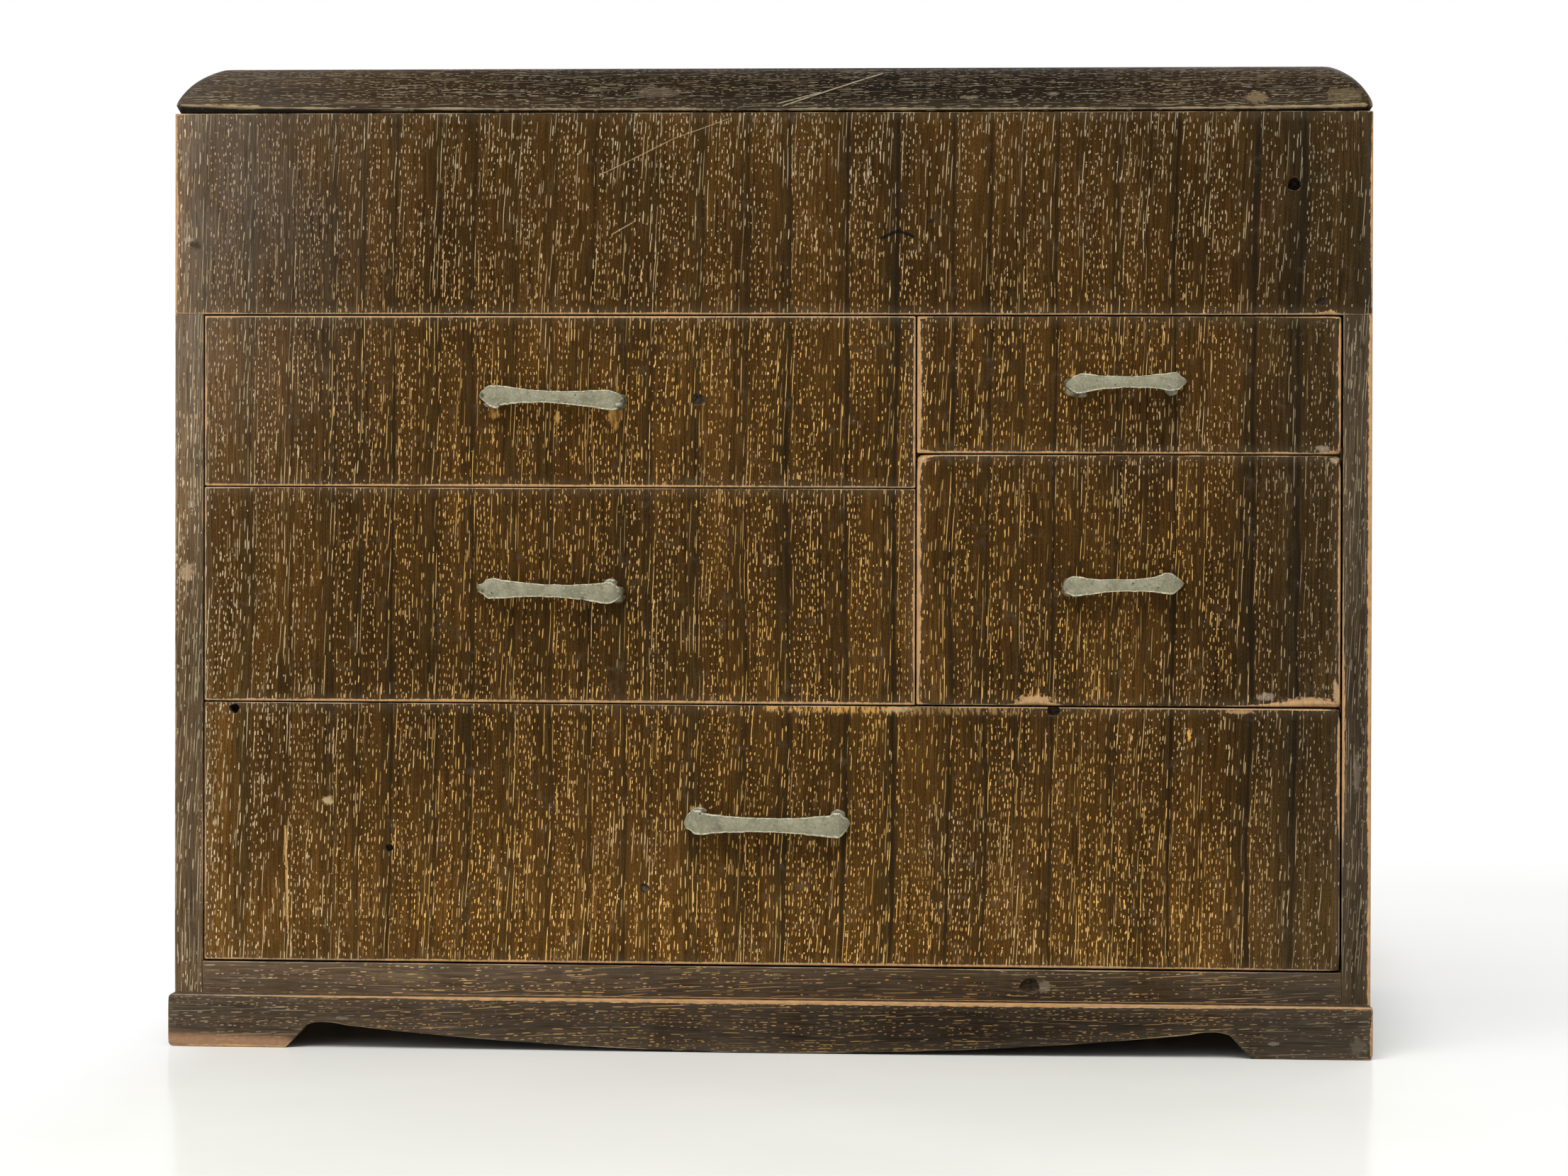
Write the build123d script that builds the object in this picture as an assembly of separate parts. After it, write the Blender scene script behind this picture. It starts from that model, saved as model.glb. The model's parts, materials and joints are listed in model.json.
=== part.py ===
from build123d import *
import os

# Miniature chest of drawers: a lidded well at the top, two drawers in a wide left bank, two in a
# narrow right bank and one full-width drawer below. Millimetres. +X right, front faces -Y, +Z up.
# The origin is the bottom centre of the whole object.

# ---- Driving dimensions -------------------------------------------------------------------------

# case
CASE_WIDTH = 150.0
CASE_DEPTH = 75.0
CASE_HEIGHT = 117.2          # top edge of the sides, the back and the well front
SIDE_THICK = 3.6
BACK_THICK = 1.6
BACK_CLEAR_OF_FLOOR = 1.0
BASE_TOP = 10.4              # upper face of the base board
BASE_THICK = 2.0
RAIL_THICK = 2.8
RAIL_BOTTOM = 4.0
RAIL_TOP = 10.4

# apron, planted on the front of the case
APRON_WIDTH = 150.4
APRON_HEIGHT = 6.55
APRON_THICK = 3.2
APRON_FOOT_INNER = 60.3      # half the gap between the two feet
APRON_COVE_START = 57.6      # where the foot's slope meets the cove, from the middle
APRON_COVE_START_HEIGHT = 2.9
APRON_COVE_TOP = 55.9
APRON_COVE_TOP_HEIGHT = 3.25
APRON_BELLY_END = 52.8       # where the cove runs into the long sagging belly
APRON_BELLY_END_HEIGHT = 2.9
APRON_BELLY_CLEAR = 0.1      # the belly's middle just clears the floor

# well under the lid
WELL_FRONT_THICK = 3.2
WELL_FRONT_BOTTOM = 91.95
WELL_FLOOR_BOTTOM = 92.0
WELL_FLOOR_THICK = 2.0

# shelves and partition behind the drawer fronts
DIVIDER_THICK = 1.8
DIVIDER_SET_BACK = 3.5       # front edge of every divider, behind the front of the case
PARTITION_X = 18.5
FULL_SHELF_TOP = 44.1
LEFT_SHELF_MIDDLE = 70.27
RIGHT_SHELF_MIDDLE = 74.6

# lid
LID_WIDTH = 150.2
LID_BOTTOM = 117.3
LID_TOP = 123.0
LID_FRONT_OVERHANG = 0.3
LID_ARRIS_HEIGHT = 0.65      # the widest line of the edge, above the lid's underside
LID_UNDERCUT = 0.5           # how far the underside is set in from the widest line
LID_EDGE_WIDTH = 5.2         # plan width of the rounded upper edge
LID_EDGE_MIDDLE_IN = 1.75    # the rounded edge's middle point, in from the widest line
LID_EDGE_MIDDLE_DROP = 2.15  # and below the lid's top

# drawers
FRONT_THICK = 3.2
DRAWER_SIDE_THICK = 1.6
DRAWER_BACK_THICK = 1.6
DRAWER_BOTTOM_THICK = 1.0
DRAWER_BOTTOM_LIFT = 1.2     # underside of the bottom, above the lower edge of the sides
DRAWER_GROOVE = 0.6
DRAWER_RUN_GAP = 0.12        # clearance over the shelf that the drawer runs on
DRAWER_HEAD_GAP = 0.3        # clearance under the shelf above
DRAWER_SIDE_GAP = 0.25
DRAWER_END_GAP = 2.0         # between the back of a closed drawer and the back panel

# handles: a cast bar, waisted in the middle, whose ends bend back to the wood
HANDLE_STAND_OFF = 2.5       # outer face of the bar, in front of the drawer front
HANDLE_THICK = 1.0
HANDLE_SHOULDER_AT = 0.83    # the shoulders' place, as a share of half the length
HANDLE_NECK_AT = 0.93        # where the tip lobe starts, as a share of half the length
HANDLE_NECK_HEIGHT = 0.55    # height of the tip lobe, as a share of the shoulders' height
HANDLE_BEND = 2.2            # length of each end's bend, along the drawer front
HANDLE_HEEL = 1.0            # how far each end stands straight out of the wood before the bend

# hinges
HINGE_X = 45.0
HINGE_WIDTH = 10.0
HINGE_AXIS_BEHIND = 1.0
HINGE_KNUCKLE_RADIUS = 0.8
HINGE_PIN_RADIUS = 0.38
HINGE_BORE_RADIUS = 0.42
HINGE_PIN_HEAD_RADIUS = 0.65
HINGE_PIN_HEAD_THICK = 0.3
HINGE_KNUCKLE_GAP = 0.15
HINGE_LEAF_THICK = 0.4
HINGE_LEAF_NEAR = 1.0        # the leaf's long edge nearest the axis
HINGE_LEAF_FAR = 4.4
HINGE_TAB_NEAR = 0.2
HINGE_NAIL_X = 3.2
HINGE_NAIL_Z = 2.9
HINGE_NAIL_RADIUS = 0.3
HINGE_NAIL_HEAD_RADIUS = 0.6
HINGE_NAIL_HEAD_THICK = 0.25
HINGE_NAIL_LENGTH = 1.2

# ---- Places worked out from the dimensions ------------------------------------------------------

TOTAL_DEPTH = APRON_THICK + CASE_DEPTH + HINGE_AXIS_BEHIND + HINGE_KNUCKLE_RADIUS
FRONT_Y = -TOTAL_DEPTH / 2 + APRON_THICK
BACK_Y = FRONT_Y + CASE_DEPTH
HALF_WIDTH = CASE_WIDTH / 2
INNER_X = HALF_WIDTH - SIDE_THICK
BACK_FACE_Y = BACK_Y - BACK_THICK
DIVIDER_Y = FRONT_Y + DIVIDER_SET_BACK
HINGE_Y = BACK_Y + HINGE_AXIS_BEHIND
HINGE_Z = (CASE_HEIGHT + LID_BOTTOM) / 2

# The three sizes of handle: length, height at the waist and height at the shoulders.
HANDLE_SIZES = {
    "large": (20.8, 1.77, 3.1),
    "medium": (18.5, 1.6, 2.75),
    "small": (15.1, 1.55, 2.7),
}

# Each drawer: the front's left and right edges, its bottom and top edges, how far the closed front
# sits behind the front of the case, and the handle's size, centre and tilt in degrees.
DRAWERS = {
    "top_left": dict(x=(-71.2, 18.4), z=(70.35, 91.75), sits_in=0.05, handle=("medium", -27.0, 81.6, 1.7)),
    "middle_left": dict(x=(-71.2, 18.4), z=(43.3, 70.2), sits_in=0.0, handle=("medium", -27.3, 57.4, 1.5)),
    "top_right": dict(x=(18.6, 71.0), z=(74.7, 91.75), sits_in=0.15, handle=("small", 44.6, 83.6, -1.8)),
    "middle_right": dict(x=(18.6, 71.0), z=(43.35, 74.5), sits_in=0.1, handle=("small", 44.3, 58.4, -1.7)),
    "bottom": dict(x=(-71.2, 71.0), z=(10.65, 43.12), sits_in=0.0, handle=("large", 0.0, 28.3, 0.5)),
}


def board(x, y, z):
    """A board between two x, two y and two z values."""
    middle = ((x[0] + x[1]) / 2, (y[0] + y[1]) / 2, (z[0] + z[1]) / 2)
    return Pos(*middle) * Box(x[1] - x[0], y[1] - y[0], z[1] - z[0])


def rod(radius, start, length):
    """A round rod along +Y from the start point."""
    return Pos(*start) * Rot(-90, 0, 0) * Cylinder(radius, length, align=(Align.CENTER, Align.CENTER, Align.MIN))


# ---- Case ---------------------------------------------------------------------------------------

def side_panel(sign):
    """A side that runs down to the floor, notched at its top front for the well front."""
    outer = sign * HALF_WIDTH
    inner = sign * INNER_X
    x = (min(outer, inner), max(outer, inner))
    panel = board(x, (FRONT_Y, BACK_Y), (0, CASE_HEIGHT))
    notch = board(x, (FRONT_Y, FRONT_Y + WELL_FRONT_THICK), (WELL_FRONT_BOTTOM, CASE_HEIGHT))
    return panel - notch


def apron():
    """The front plinth board: two feet, a cove inside each and one long sagging belly between."""
    half = APRON_WIDTH / 2
    right_cove = ThreePointArc(
        (APRON_BELLY_END, APRON_BELLY_END_HEIGHT),
        (APRON_COVE_TOP, APRON_COVE_TOP_HEIGHT),
        (APRON_COVE_START, APRON_COVE_START_HEIGHT),
    )
    left_cove = ThreePointArc(
        (-APRON_COVE_START, APRON_COVE_START_HEIGHT),
        (-APRON_COVE_TOP, APRON_COVE_TOP_HEIGHT),
        (-APRON_BELLY_END, APRON_BELLY_END_HEIGHT),
    )
    belly = ThreePointArc(
        (-APRON_BELLY_END, APRON_BELLY_END_HEIGHT),
        (0, APRON_BELLY_CLEAR),
        (APRON_BELLY_END, APRON_BELLY_END_HEIGHT),
    )
    right_foot = Polyline(
        (APRON_COVE_START, APRON_COVE_START_HEIGHT),
        (APRON_FOOT_INNER, 0),
        (half, 0),
        (half, APRON_HEIGHT),
        (-half, APRON_HEIGHT),
        (-half, 0),
        (-APRON_FOOT_INNER, 0),
        (-APRON_COVE_START, APRON_COVE_START_HEIGHT),
    )
    outline = make_face(belly.edges() + right_cove.edges() + right_foot.edges() + left_cove.edges())
    return extrude(Plane.XZ * outline, APRON_THICK).moved(Pos(0, FRONT_Y, 0))


def case_nodes():
    """The fixed boards of the case, by name."""
    full = (-INNER_X, INNER_X)
    inside_y = (DIVIDER_Y, BACK_FACE_Y)
    half_divider = DIVIDER_THICK / 2
    left_bank = (-INNER_X, PARTITION_X - half_divider)
    right_bank = (PARTITION_X + half_divider, INNER_X)
    return {
        "side_left": side_panel(-1),
        "side_right": side_panel(1),
        "back_panel": board(full, (BACK_FACE_Y, BACK_Y), (BACK_CLEAR_OF_FLOOR, CASE_HEIGHT)),
        "base_board": board(full, (FRONT_Y + RAIL_THICK, BACK_FACE_Y), (BASE_TOP - BASE_THICK, BASE_TOP)),
        "front_rail": board(full, (FRONT_Y, FRONT_Y + RAIL_THICK), (RAIL_BOTTOM, RAIL_TOP)),
        "apron": apron(),
        "well_front": board(
            (-HALF_WIDTH, HALF_WIDTH), (FRONT_Y, FRONT_Y + WELL_FRONT_THICK), (WELL_FRONT_BOTTOM, CASE_HEIGHT)
        ),
        "well_floor": board(
            full,
            (FRONT_Y + WELL_FRONT_THICK, BACK_FACE_Y),
            (WELL_FLOOR_BOTTOM, WELL_FLOOR_BOTTOM + WELL_FLOOR_THICK),
        ),
        "partition": board(
            (PARTITION_X - half_divider, PARTITION_X + half_divider), inside_y, (FULL_SHELF_TOP, WELL_FLOOR_BOTTOM)
        ),
        "shelf_full": board(full, inside_y, (FULL_SHELF_TOP - DIVIDER_THICK, FULL_SHELF_TOP)),
        "shelf_left": board(
            left_bank, inside_y, (LEFT_SHELF_MIDDLE - half_divider, LEFT_SHELF_MIDDLE + half_divider)
        ),
        "shelf_right": board(
            right_bank, inside_y, (RIGHT_SHELF_MIDDLE - half_divider, RIGHT_SHELF_MIDDLE + half_divider)
        ),
    }


# ---- Lid ----------------------------------------------------------------------------------------

def lid_edge(outer):
    """The worked edge's lines, from the underside out to the widest line and up over to the top.
    outer is how far the widest line lies from the middle."""
    arris_z = LID_BOTTOM + LID_ARRIS_HEIGHT
    undercut = Line((outer - LID_UNDERCUT, LID_BOTTOM), (outer, arris_z))
    rounded = ThreePointArc(
        (outer, arris_z),
        (outer - LID_EDGE_MIDDLE_IN, LID_TOP - LID_EDGE_MIDDLE_DROP),
        (outer - LID_EDGE_WIDTH, LID_TOP),
    )
    return undercut, rounded


def lid_board():
    """The lid, with the worked edge along its front and both ends and a plain back edge."""
    half = LID_WIDTH / 2
    right = lid_edge(half)
    left = [line.mirror(Plane.YZ) for line in right]
    top = Line((-half + LID_EDGE_WIDTH, LID_TOP), (half - LID_EDGE_WIDTH, LID_TOP))
    underside = Line((-half + LID_UNDERCUT, LID_BOTTOM), (half - LID_UNDERCUT, LID_BOTTOM))
    across = make_face([*right, top, *left, underside])
    ends = extrude(Plane.XZ * across, CASE_DEPTH, both=True)

    front = lid_edge(-FRONT_Y + LID_FRONT_OVERHANG)
    back_line = Line((-BACK_Y, LID_BOTTOM), (-BACK_Y, LID_TOP))
    depth_top = Line((-BACK_Y, LID_TOP), (-FRONT_Y + LID_FRONT_OVERHANG - LID_EDGE_WIDTH, LID_TOP))
    depth_under = Line((-BACK_Y, LID_BOTTOM), (-FRONT_Y + LID_FRONT_OVERHANG - LID_UNDERCUT, LID_BOTTOM))
    along = make_face([*front, depth_top, back_line, depth_under])
    # Plane.YZ turned about so that its first direction is -Y
    front_to_back = Plane(origin=(0, 0, 0), x_dir=(0, -1, 0), z_dir=(-1, 0, 0))
    return ends & extrude(front_to_back * along, LID_WIDTH, both=True)


# ---- Hinges -------------------------------------------------------------------------------------

def knuckle(x0, x1):
    """One tube of the hinge barrel between two x values."""
    middle = Pos((x0 + x1) / 2, HINGE_Y, HINGE_Z)
    tube = Cylinder(HINGE_KNUCKLE_RADIUS, x1 - x0) - Cylinder(HINGE_BORE_RADIUS, x1 - x0)
    return middle * Rot(0, 90, 0) * tube


def hinge_leaf(centre_x, spans, up):
    """A leaf with the barrel tubes over the given x spans. up is 1 on the lid and -1 on the case."""
    half = HINGE_WIDTH / 2
    y = (BACK_Y, BACK_Y + HINGE_LEAF_THICK)
    plate_z = sorted((HINGE_Z + up * HINGE_LEAF_NEAR, HINGE_Z + up * HINGE_LEAF_FAR))
    tab_z = sorted((HINGE_Z + up * HINGE_TAB_NEAR, HINGE_Z + up * HINGE_LEAF_NEAR))
    leaf = board((centre_x - half, centre_x + half), y, plate_z)
    for x0, x1 in spans:
        leaf += board((centre_x + x0, centre_x + x1), y, tab_z)
        leaf += knuckle(centre_x + x0, centre_x + x1)
    bore = Pos(centre_x, HINGE_Y, HINGE_Z) * Rot(0, 90, 0) * Cylinder(HINGE_BORE_RADIUS, 2 * HINGE_WIDTH)
    leaf -= bore
    for x in nail_places(centre_x):
        leaf -= rod(HINGE_NAIL_RADIUS, (x, BACK_Y, HINGE_Z + up * HINGE_NAIL_Z), HINGE_LEAF_THICK)
    return leaf


def hinge_pin(centre_x):
    """The pin, with a flat head at each end of the barrel."""
    half = HINGE_WIDTH / 2
    pin = Cylinder(HINGE_PIN_RADIUS, HINGE_WIDTH)
    for sign in (-1, 1):
        pin += Pos(0, 0, sign * (half + HINGE_PIN_HEAD_THICK / 2)) * Cylinder(
            HINGE_PIN_HEAD_RADIUS, HINGE_PIN_HEAD_THICK
        )
    return Pos(centre_x, HINGE_Y, HINGE_Z) * Rot(0, 90, 0) * pin


def nail_places(centre_x):
    return (centre_x - HINGE_NAIL_X, centre_x + HINGE_NAIL_X)


def hinge_nails(up):
    """The nails of both hinges on one side of the axis, as separate solids."""
    nails = []
    face_y = BACK_Y + HINGE_LEAF_THICK
    for hinge_x in (-HINGE_X, HINGE_X):
        for x in nail_places(hinge_x):
            z = HINGE_Z + up * HINGE_NAIL_Z
            shank_start = (x, face_y - HINGE_NAIL_LENGTH, z)
            shank = rod(HINGE_NAIL_RADIUS, shank_start, HINGE_NAIL_LENGTH)
            head = rod(HINGE_NAIL_HEAD_RADIUS, (x, face_y, z), HINGE_NAIL_HEAD_THICK)
            nails.append(shank + head)
    return nails


def nail_holes(up):
    """The space that the nails' shanks take in the wood."""
    holes = []
    for hinge_x in (-HINGE_X, HINGE_X):
        for x in nail_places(hinge_x):
            depth = HINGE_NAIL_LENGTH - HINGE_LEAF_THICK
            holes.append(rod(HINGE_NAIL_RADIUS, (x, BACK_Y - depth, HINGE_Z + up * HINGE_NAIL_Z), depth))
    return holes


def hinge_nodes():
    """Leaves and pins of both hinges. The case leaf has the outer tubes, the lid leaf the middle one."""
    half = HINGE_WIDTH / 2
    third = HINGE_WIDTH / 6
    outer_spans = ((-half, -third), (third, half))
    middle_span = ((-third + HINGE_KNUCKLE_GAP, third - HINGE_KNUCKLE_GAP),)
    nodes = {}
    for name, x in (("left", -HINGE_X), ("right", HINGE_X)):
        nodes[f"hinge_{name}_case_leaf"] = hinge_leaf(x, outer_spans, -1)
        nodes[f"hinge_{name}_lid_leaf"] = hinge_leaf(x, middle_span, 1)
        nodes[f"hinge_{name}_pin"] = hinge_pin(x)
    return nodes


# ---- Drawers ------------------------------------------------------------------------------------

def handle_outline(size):
    """The bar seen from the front: waisted, with square shoulders and a small rounded tip lobe."""
    half, waist, shoulder = [value / 2 for value in HANDLE_SIZES[size]]
    shoulder_x = HANDLE_SHOULDER_AT * half
    neck_x = HANDLE_NECK_AT * half
    neck = HANDLE_NECK_HEIGHT * shoulder
    upper = ThreePointArc((-shoulder_x, shoulder), (0, waist), (shoulder_x, shoulder))
    right_upper = Line((shoulder_x, shoulder), (neck_x, neck))
    right_tip = ThreePointArc((neck_x, neck), (half, 0), (neck_x, -neck))
    right_lower = Line((neck_x, -neck), (shoulder_x, -shoulder))
    lower = ThreePointArc((shoulder_x, -shoulder), (0, -waist), (-shoulder_x, -shoulder))
    left_lower = Line((-shoulder_x, -shoulder), (-neck_x, -neck))
    left_tip = ThreePointArc((-neck_x, -neck), (-half, 0), (-neck_x, neck))
    left_upper = Line((-neck_x, neck), (-shoulder_x, shoulder))
    return make_face([upper, right_upper, right_tip, right_lower, lower, left_lower, left_tip, left_upper])


def handle_bend(length):
    """The bar seen from above: straight in the middle, with both ends bent back to the wood.
    The first direction is X and the second is the distance out from the drawer front."""
    half = length / 2
    outer = HANDLE_STAND_OFF
    inner = HANDLE_STAND_OFF - HANDLE_THICK
    inner_half = half - HANDLE_THICK
    points = [
        (-half, 0),
        (-half, HANDLE_HEEL),
        (-half + HANDLE_BEND, outer),
        (half - HANDLE_BEND, outer),
        (half, HANDLE_HEEL),
        (half, 0),
        (inner_half, 0),
        (inner_half - HANDLE_BEND, inner),
        (-inner_half + HANDLE_BEND, inner),
        (-inner_half, 0),
    ]
    return make_face(Polyline(*points, close=True))


def handle(size, x, z, tilt, wood_y):
    """A cast handle centred at x and z on the drawer front whose face is at wood_y."""
    length = HANDLE_SIZES[size][0]
    depth = extrude(Plane.XZ * handle_outline(size), HANDLE_STAND_OFF)
    # The bend lies in the XY plane and is turned over, so that out from the wood is -Y.
    bend = extrude(Rot(180, 0, 0) * handle_bend(length), length, both=True)
    return Pos(x, wood_y, z) * Rot(0, tilt, 0) * (depth & bend)


def drawer_limits(name):
    """The lower and upper limits of a drawer's sides: over its shelf and under the one above."""
    half_divider = DIVIDER_THICK / 2
    low = {
        "bottom": BASE_TOP,
        "middle_left": FULL_SHELF_TOP,
        "middle_right": FULL_SHELF_TOP,
        "top_left": LEFT_SHELF_MIDDLE + half_divider,
        "top_right": RIGHT_SHELF_MIDDLE + half_divider,
    }[name]
    high = {
        "bottom": FULL_SHELF_TOP - DIVIDER_THICK,
        "middle_left": LEFT_SHELF_MIDDLE - half_divider,
        "middle_right": RIGHT_SHELF_MIDDLE - half_divider,
        "top_left": WELL_FLOOR_BOTTOM,
        "top_right": WELL_FLOOR_BOTTOM,
    }[name]
    return low + DRAWER_RUN_GAP, high - DRAWER_HEAD_GAP


def drawer_bank(name):
    """The clear width that a drawer's box runs in."""
    half_divider = DIVIDER_THICK / 2
    if name.endswith("left"):
        return -INNER_X, PARTITION_X - half_divider
    if name.endswith("right"):
        return PARTITION_X + half_divider, INNER_X
    return -INNER_X, INNER_X


def drawer_nodes(name, spec):
    """The six pieces of one drawer, closed."""
    z0, z1 = drawer_limits(name)
    bank = drawer_bank(name)
    x0, x1 = bank[0] + DRAWER_SIDE_GAP, bank[1] - DRAWER_SIDE_GAP
    face_y = FRONT_Y + spec["sits_in"]
    wood_back = face_y + FRONT_THICK
    end_y = BACK_FACE_Y - DRAWER_END_GAP
    bottom_z = (z0 + DRAWER_BOTTOM_LIFT, z0 + DRAWER_BOTTOM_LIFT + DRAWER_BOTTOM_THICK)
    inner = (x0 + DRAWER_SIDE_THICK, x1 - DRAWER_SIDE_THICK)
    grooved = (inner[0] - DRAWER_GROOVE, inner[1] + DRAWER_GROOVE)

    bottom = board(grooved, (wood_back - DRAWER_GROOVE, end_y), bottom_z)
    front = board(spec["x"], (face_y, wood_back), spec["z"]) - bottom
    side_y = (wood_back, end_y)
    left = board((x0, inner[0]), side_y, (z0, z1)) - bottom
    right = board((inner[1], x1), side_y, (z0, z1)) - bottom
    back = board(inner, (end_y - DRAWER_BACK_THICK, end_y), (bottom_z[1], z1))
    return {
        f"drawer_{name}_front": front,
        f"drawer_{name}_side_l": left,
        f"drawer_{name}_side_r": right,
        f"drawer_{name}_back": back,
        f"drawer_{name}_bottom": bottom,
        f"handle_{name}": handle(*spec["handle"], face_y),
    }


# ---- Every node ---------------------------------------------------------------------------------

def all_nodes():
    nodes = case_nodes()
    for hole in nail_holes(-1):
        nodes["back_panel"] = nodes["back_panel"] - hole
    lid = lid_board()
    for hole in nail_holes(1):
        lid = lid - hole
    nodes["lid_board"] = lid
    nodes.update(hinge_nodes())
    nodes["hinge_case_nails"] = Compound(children=[n.solid() for n in hinge_nails(-1)])
    nodes["hinge_lid_nails"] = Compound(children=[n.solid() for n in hinge_nails(1)])
    for name, spec in DRAWERS.items():
        nodes.update(drawer_nodes(name, spec))
    return nodes


os.makedirs("parts", exist_ok=True)
for node_name, shape in all_nodes().items():
    export_step(shape, f"parts/{node_name}.step")
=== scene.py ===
import json
import math

import bmesh
import bpy
import numpy as np
from mathutils import Euler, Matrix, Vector


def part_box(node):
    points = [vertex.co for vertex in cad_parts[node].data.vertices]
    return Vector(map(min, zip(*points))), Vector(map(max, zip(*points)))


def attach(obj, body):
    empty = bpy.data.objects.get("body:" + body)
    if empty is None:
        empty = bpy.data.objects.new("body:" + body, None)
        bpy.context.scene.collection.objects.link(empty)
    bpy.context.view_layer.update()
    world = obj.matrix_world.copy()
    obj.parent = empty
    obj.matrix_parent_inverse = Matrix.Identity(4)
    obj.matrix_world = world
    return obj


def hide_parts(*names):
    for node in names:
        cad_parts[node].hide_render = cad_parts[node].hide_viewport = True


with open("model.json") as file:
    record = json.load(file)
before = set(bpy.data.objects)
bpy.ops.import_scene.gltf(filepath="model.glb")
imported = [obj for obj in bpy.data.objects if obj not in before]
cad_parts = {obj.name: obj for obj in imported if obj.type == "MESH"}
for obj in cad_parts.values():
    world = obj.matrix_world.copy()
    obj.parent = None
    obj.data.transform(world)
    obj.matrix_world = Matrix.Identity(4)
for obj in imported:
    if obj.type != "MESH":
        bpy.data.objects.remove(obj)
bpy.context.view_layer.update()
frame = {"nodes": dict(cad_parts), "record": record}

# The looks of a miniature chest of drawers. Sizes in the comments and in the makers below are in
# millimetres; MM turns them into the frame's metres.
MM = 0.001


def box_mm(node):
    """A CAD node's lowest and highest corner, in millimetres."""
    low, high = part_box(node)
    return np.array(low) / MM, np.array(high) / MM


FRONT_Y = box_mm("front_rail")[0][1]      # the plane of the stiles, rail and well front
CASE_LOW, CASE_HIGH = box_mm("well_front")
DRAWERS = ("top_left", "middle_left", "top_right", "middle_right", "bottom")


# ---- Camera -------------------------------------------------------------------------------------

CAMERA_PLACE = (51.2, -666.2, 80.2)
CAMERA_YAW = 4.47            # degrees, turned towards -X
CAMERA_PITCH = 0.61          # degrees, downwards
CAMERA_ROLL = 0.12
CAMERA_LENS = 116.1
CAMERA_SHIFT_Y = -0.08


def make_camera():
    data = bpy.data.cameras.new("camera")
    data.lens = CAMERA_LENS
    data.shift_y = CAMERA_SHIFT_Y
    data.clip_start = 0.01
    data.clip_end = 20
    camera = bpy.data.objects.new("camera", data)
    bpy.context.scene.collection.objects.link(camera)
    turn = Euler((math.radians(90 - CAMERA_PITCH), 0, math.radians(CAMERA_YAW)), "XYZ").to_matrix()
    roll = Euler((0, 0, math.radians(CAMERA_ROLL)), "XYZ").to_matrix()
    camera.matrix_world = (turn @ roll).to_4x4()
    camera.location = Vector(CAMERA_PLACE) * MM
    bpy.context.scene.camera = camera


# ---- Node graphs --------------------------------------------------------------------------------

def sum_of(operation, turned=False):
    """A method that makes a Math node from a Value and another value or number."""
    def made(self, other):
        return self.graph.math(operation, *((other, self) if turned else (self, other)))
    return made


class Value:
    """One output of a node. Sums with it, such as a * 0.5 + b, make the nodes that work them out."""

    def __init__(self, graph, socket):
        self.graph = graph
        self.socket = socket

    __add__, __radd__ = sum_of("ADD"), sum_of("ADD", True)
    __sub__, __rsub__ = sum_of("SUBTRACT"), sum_of("SUBTRACT", True)
    __mul__, __rmul__ = sum_of("MULTIPLY"), sum_of("MULTIPLY", True)
    __truediv__, __rtruediv__ = sum_of("DIVIDE"), sum_of("DIVIDE", True)

    def __abs__(self):
        return self.graph.math("ABSOLUTE", self)


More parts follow.
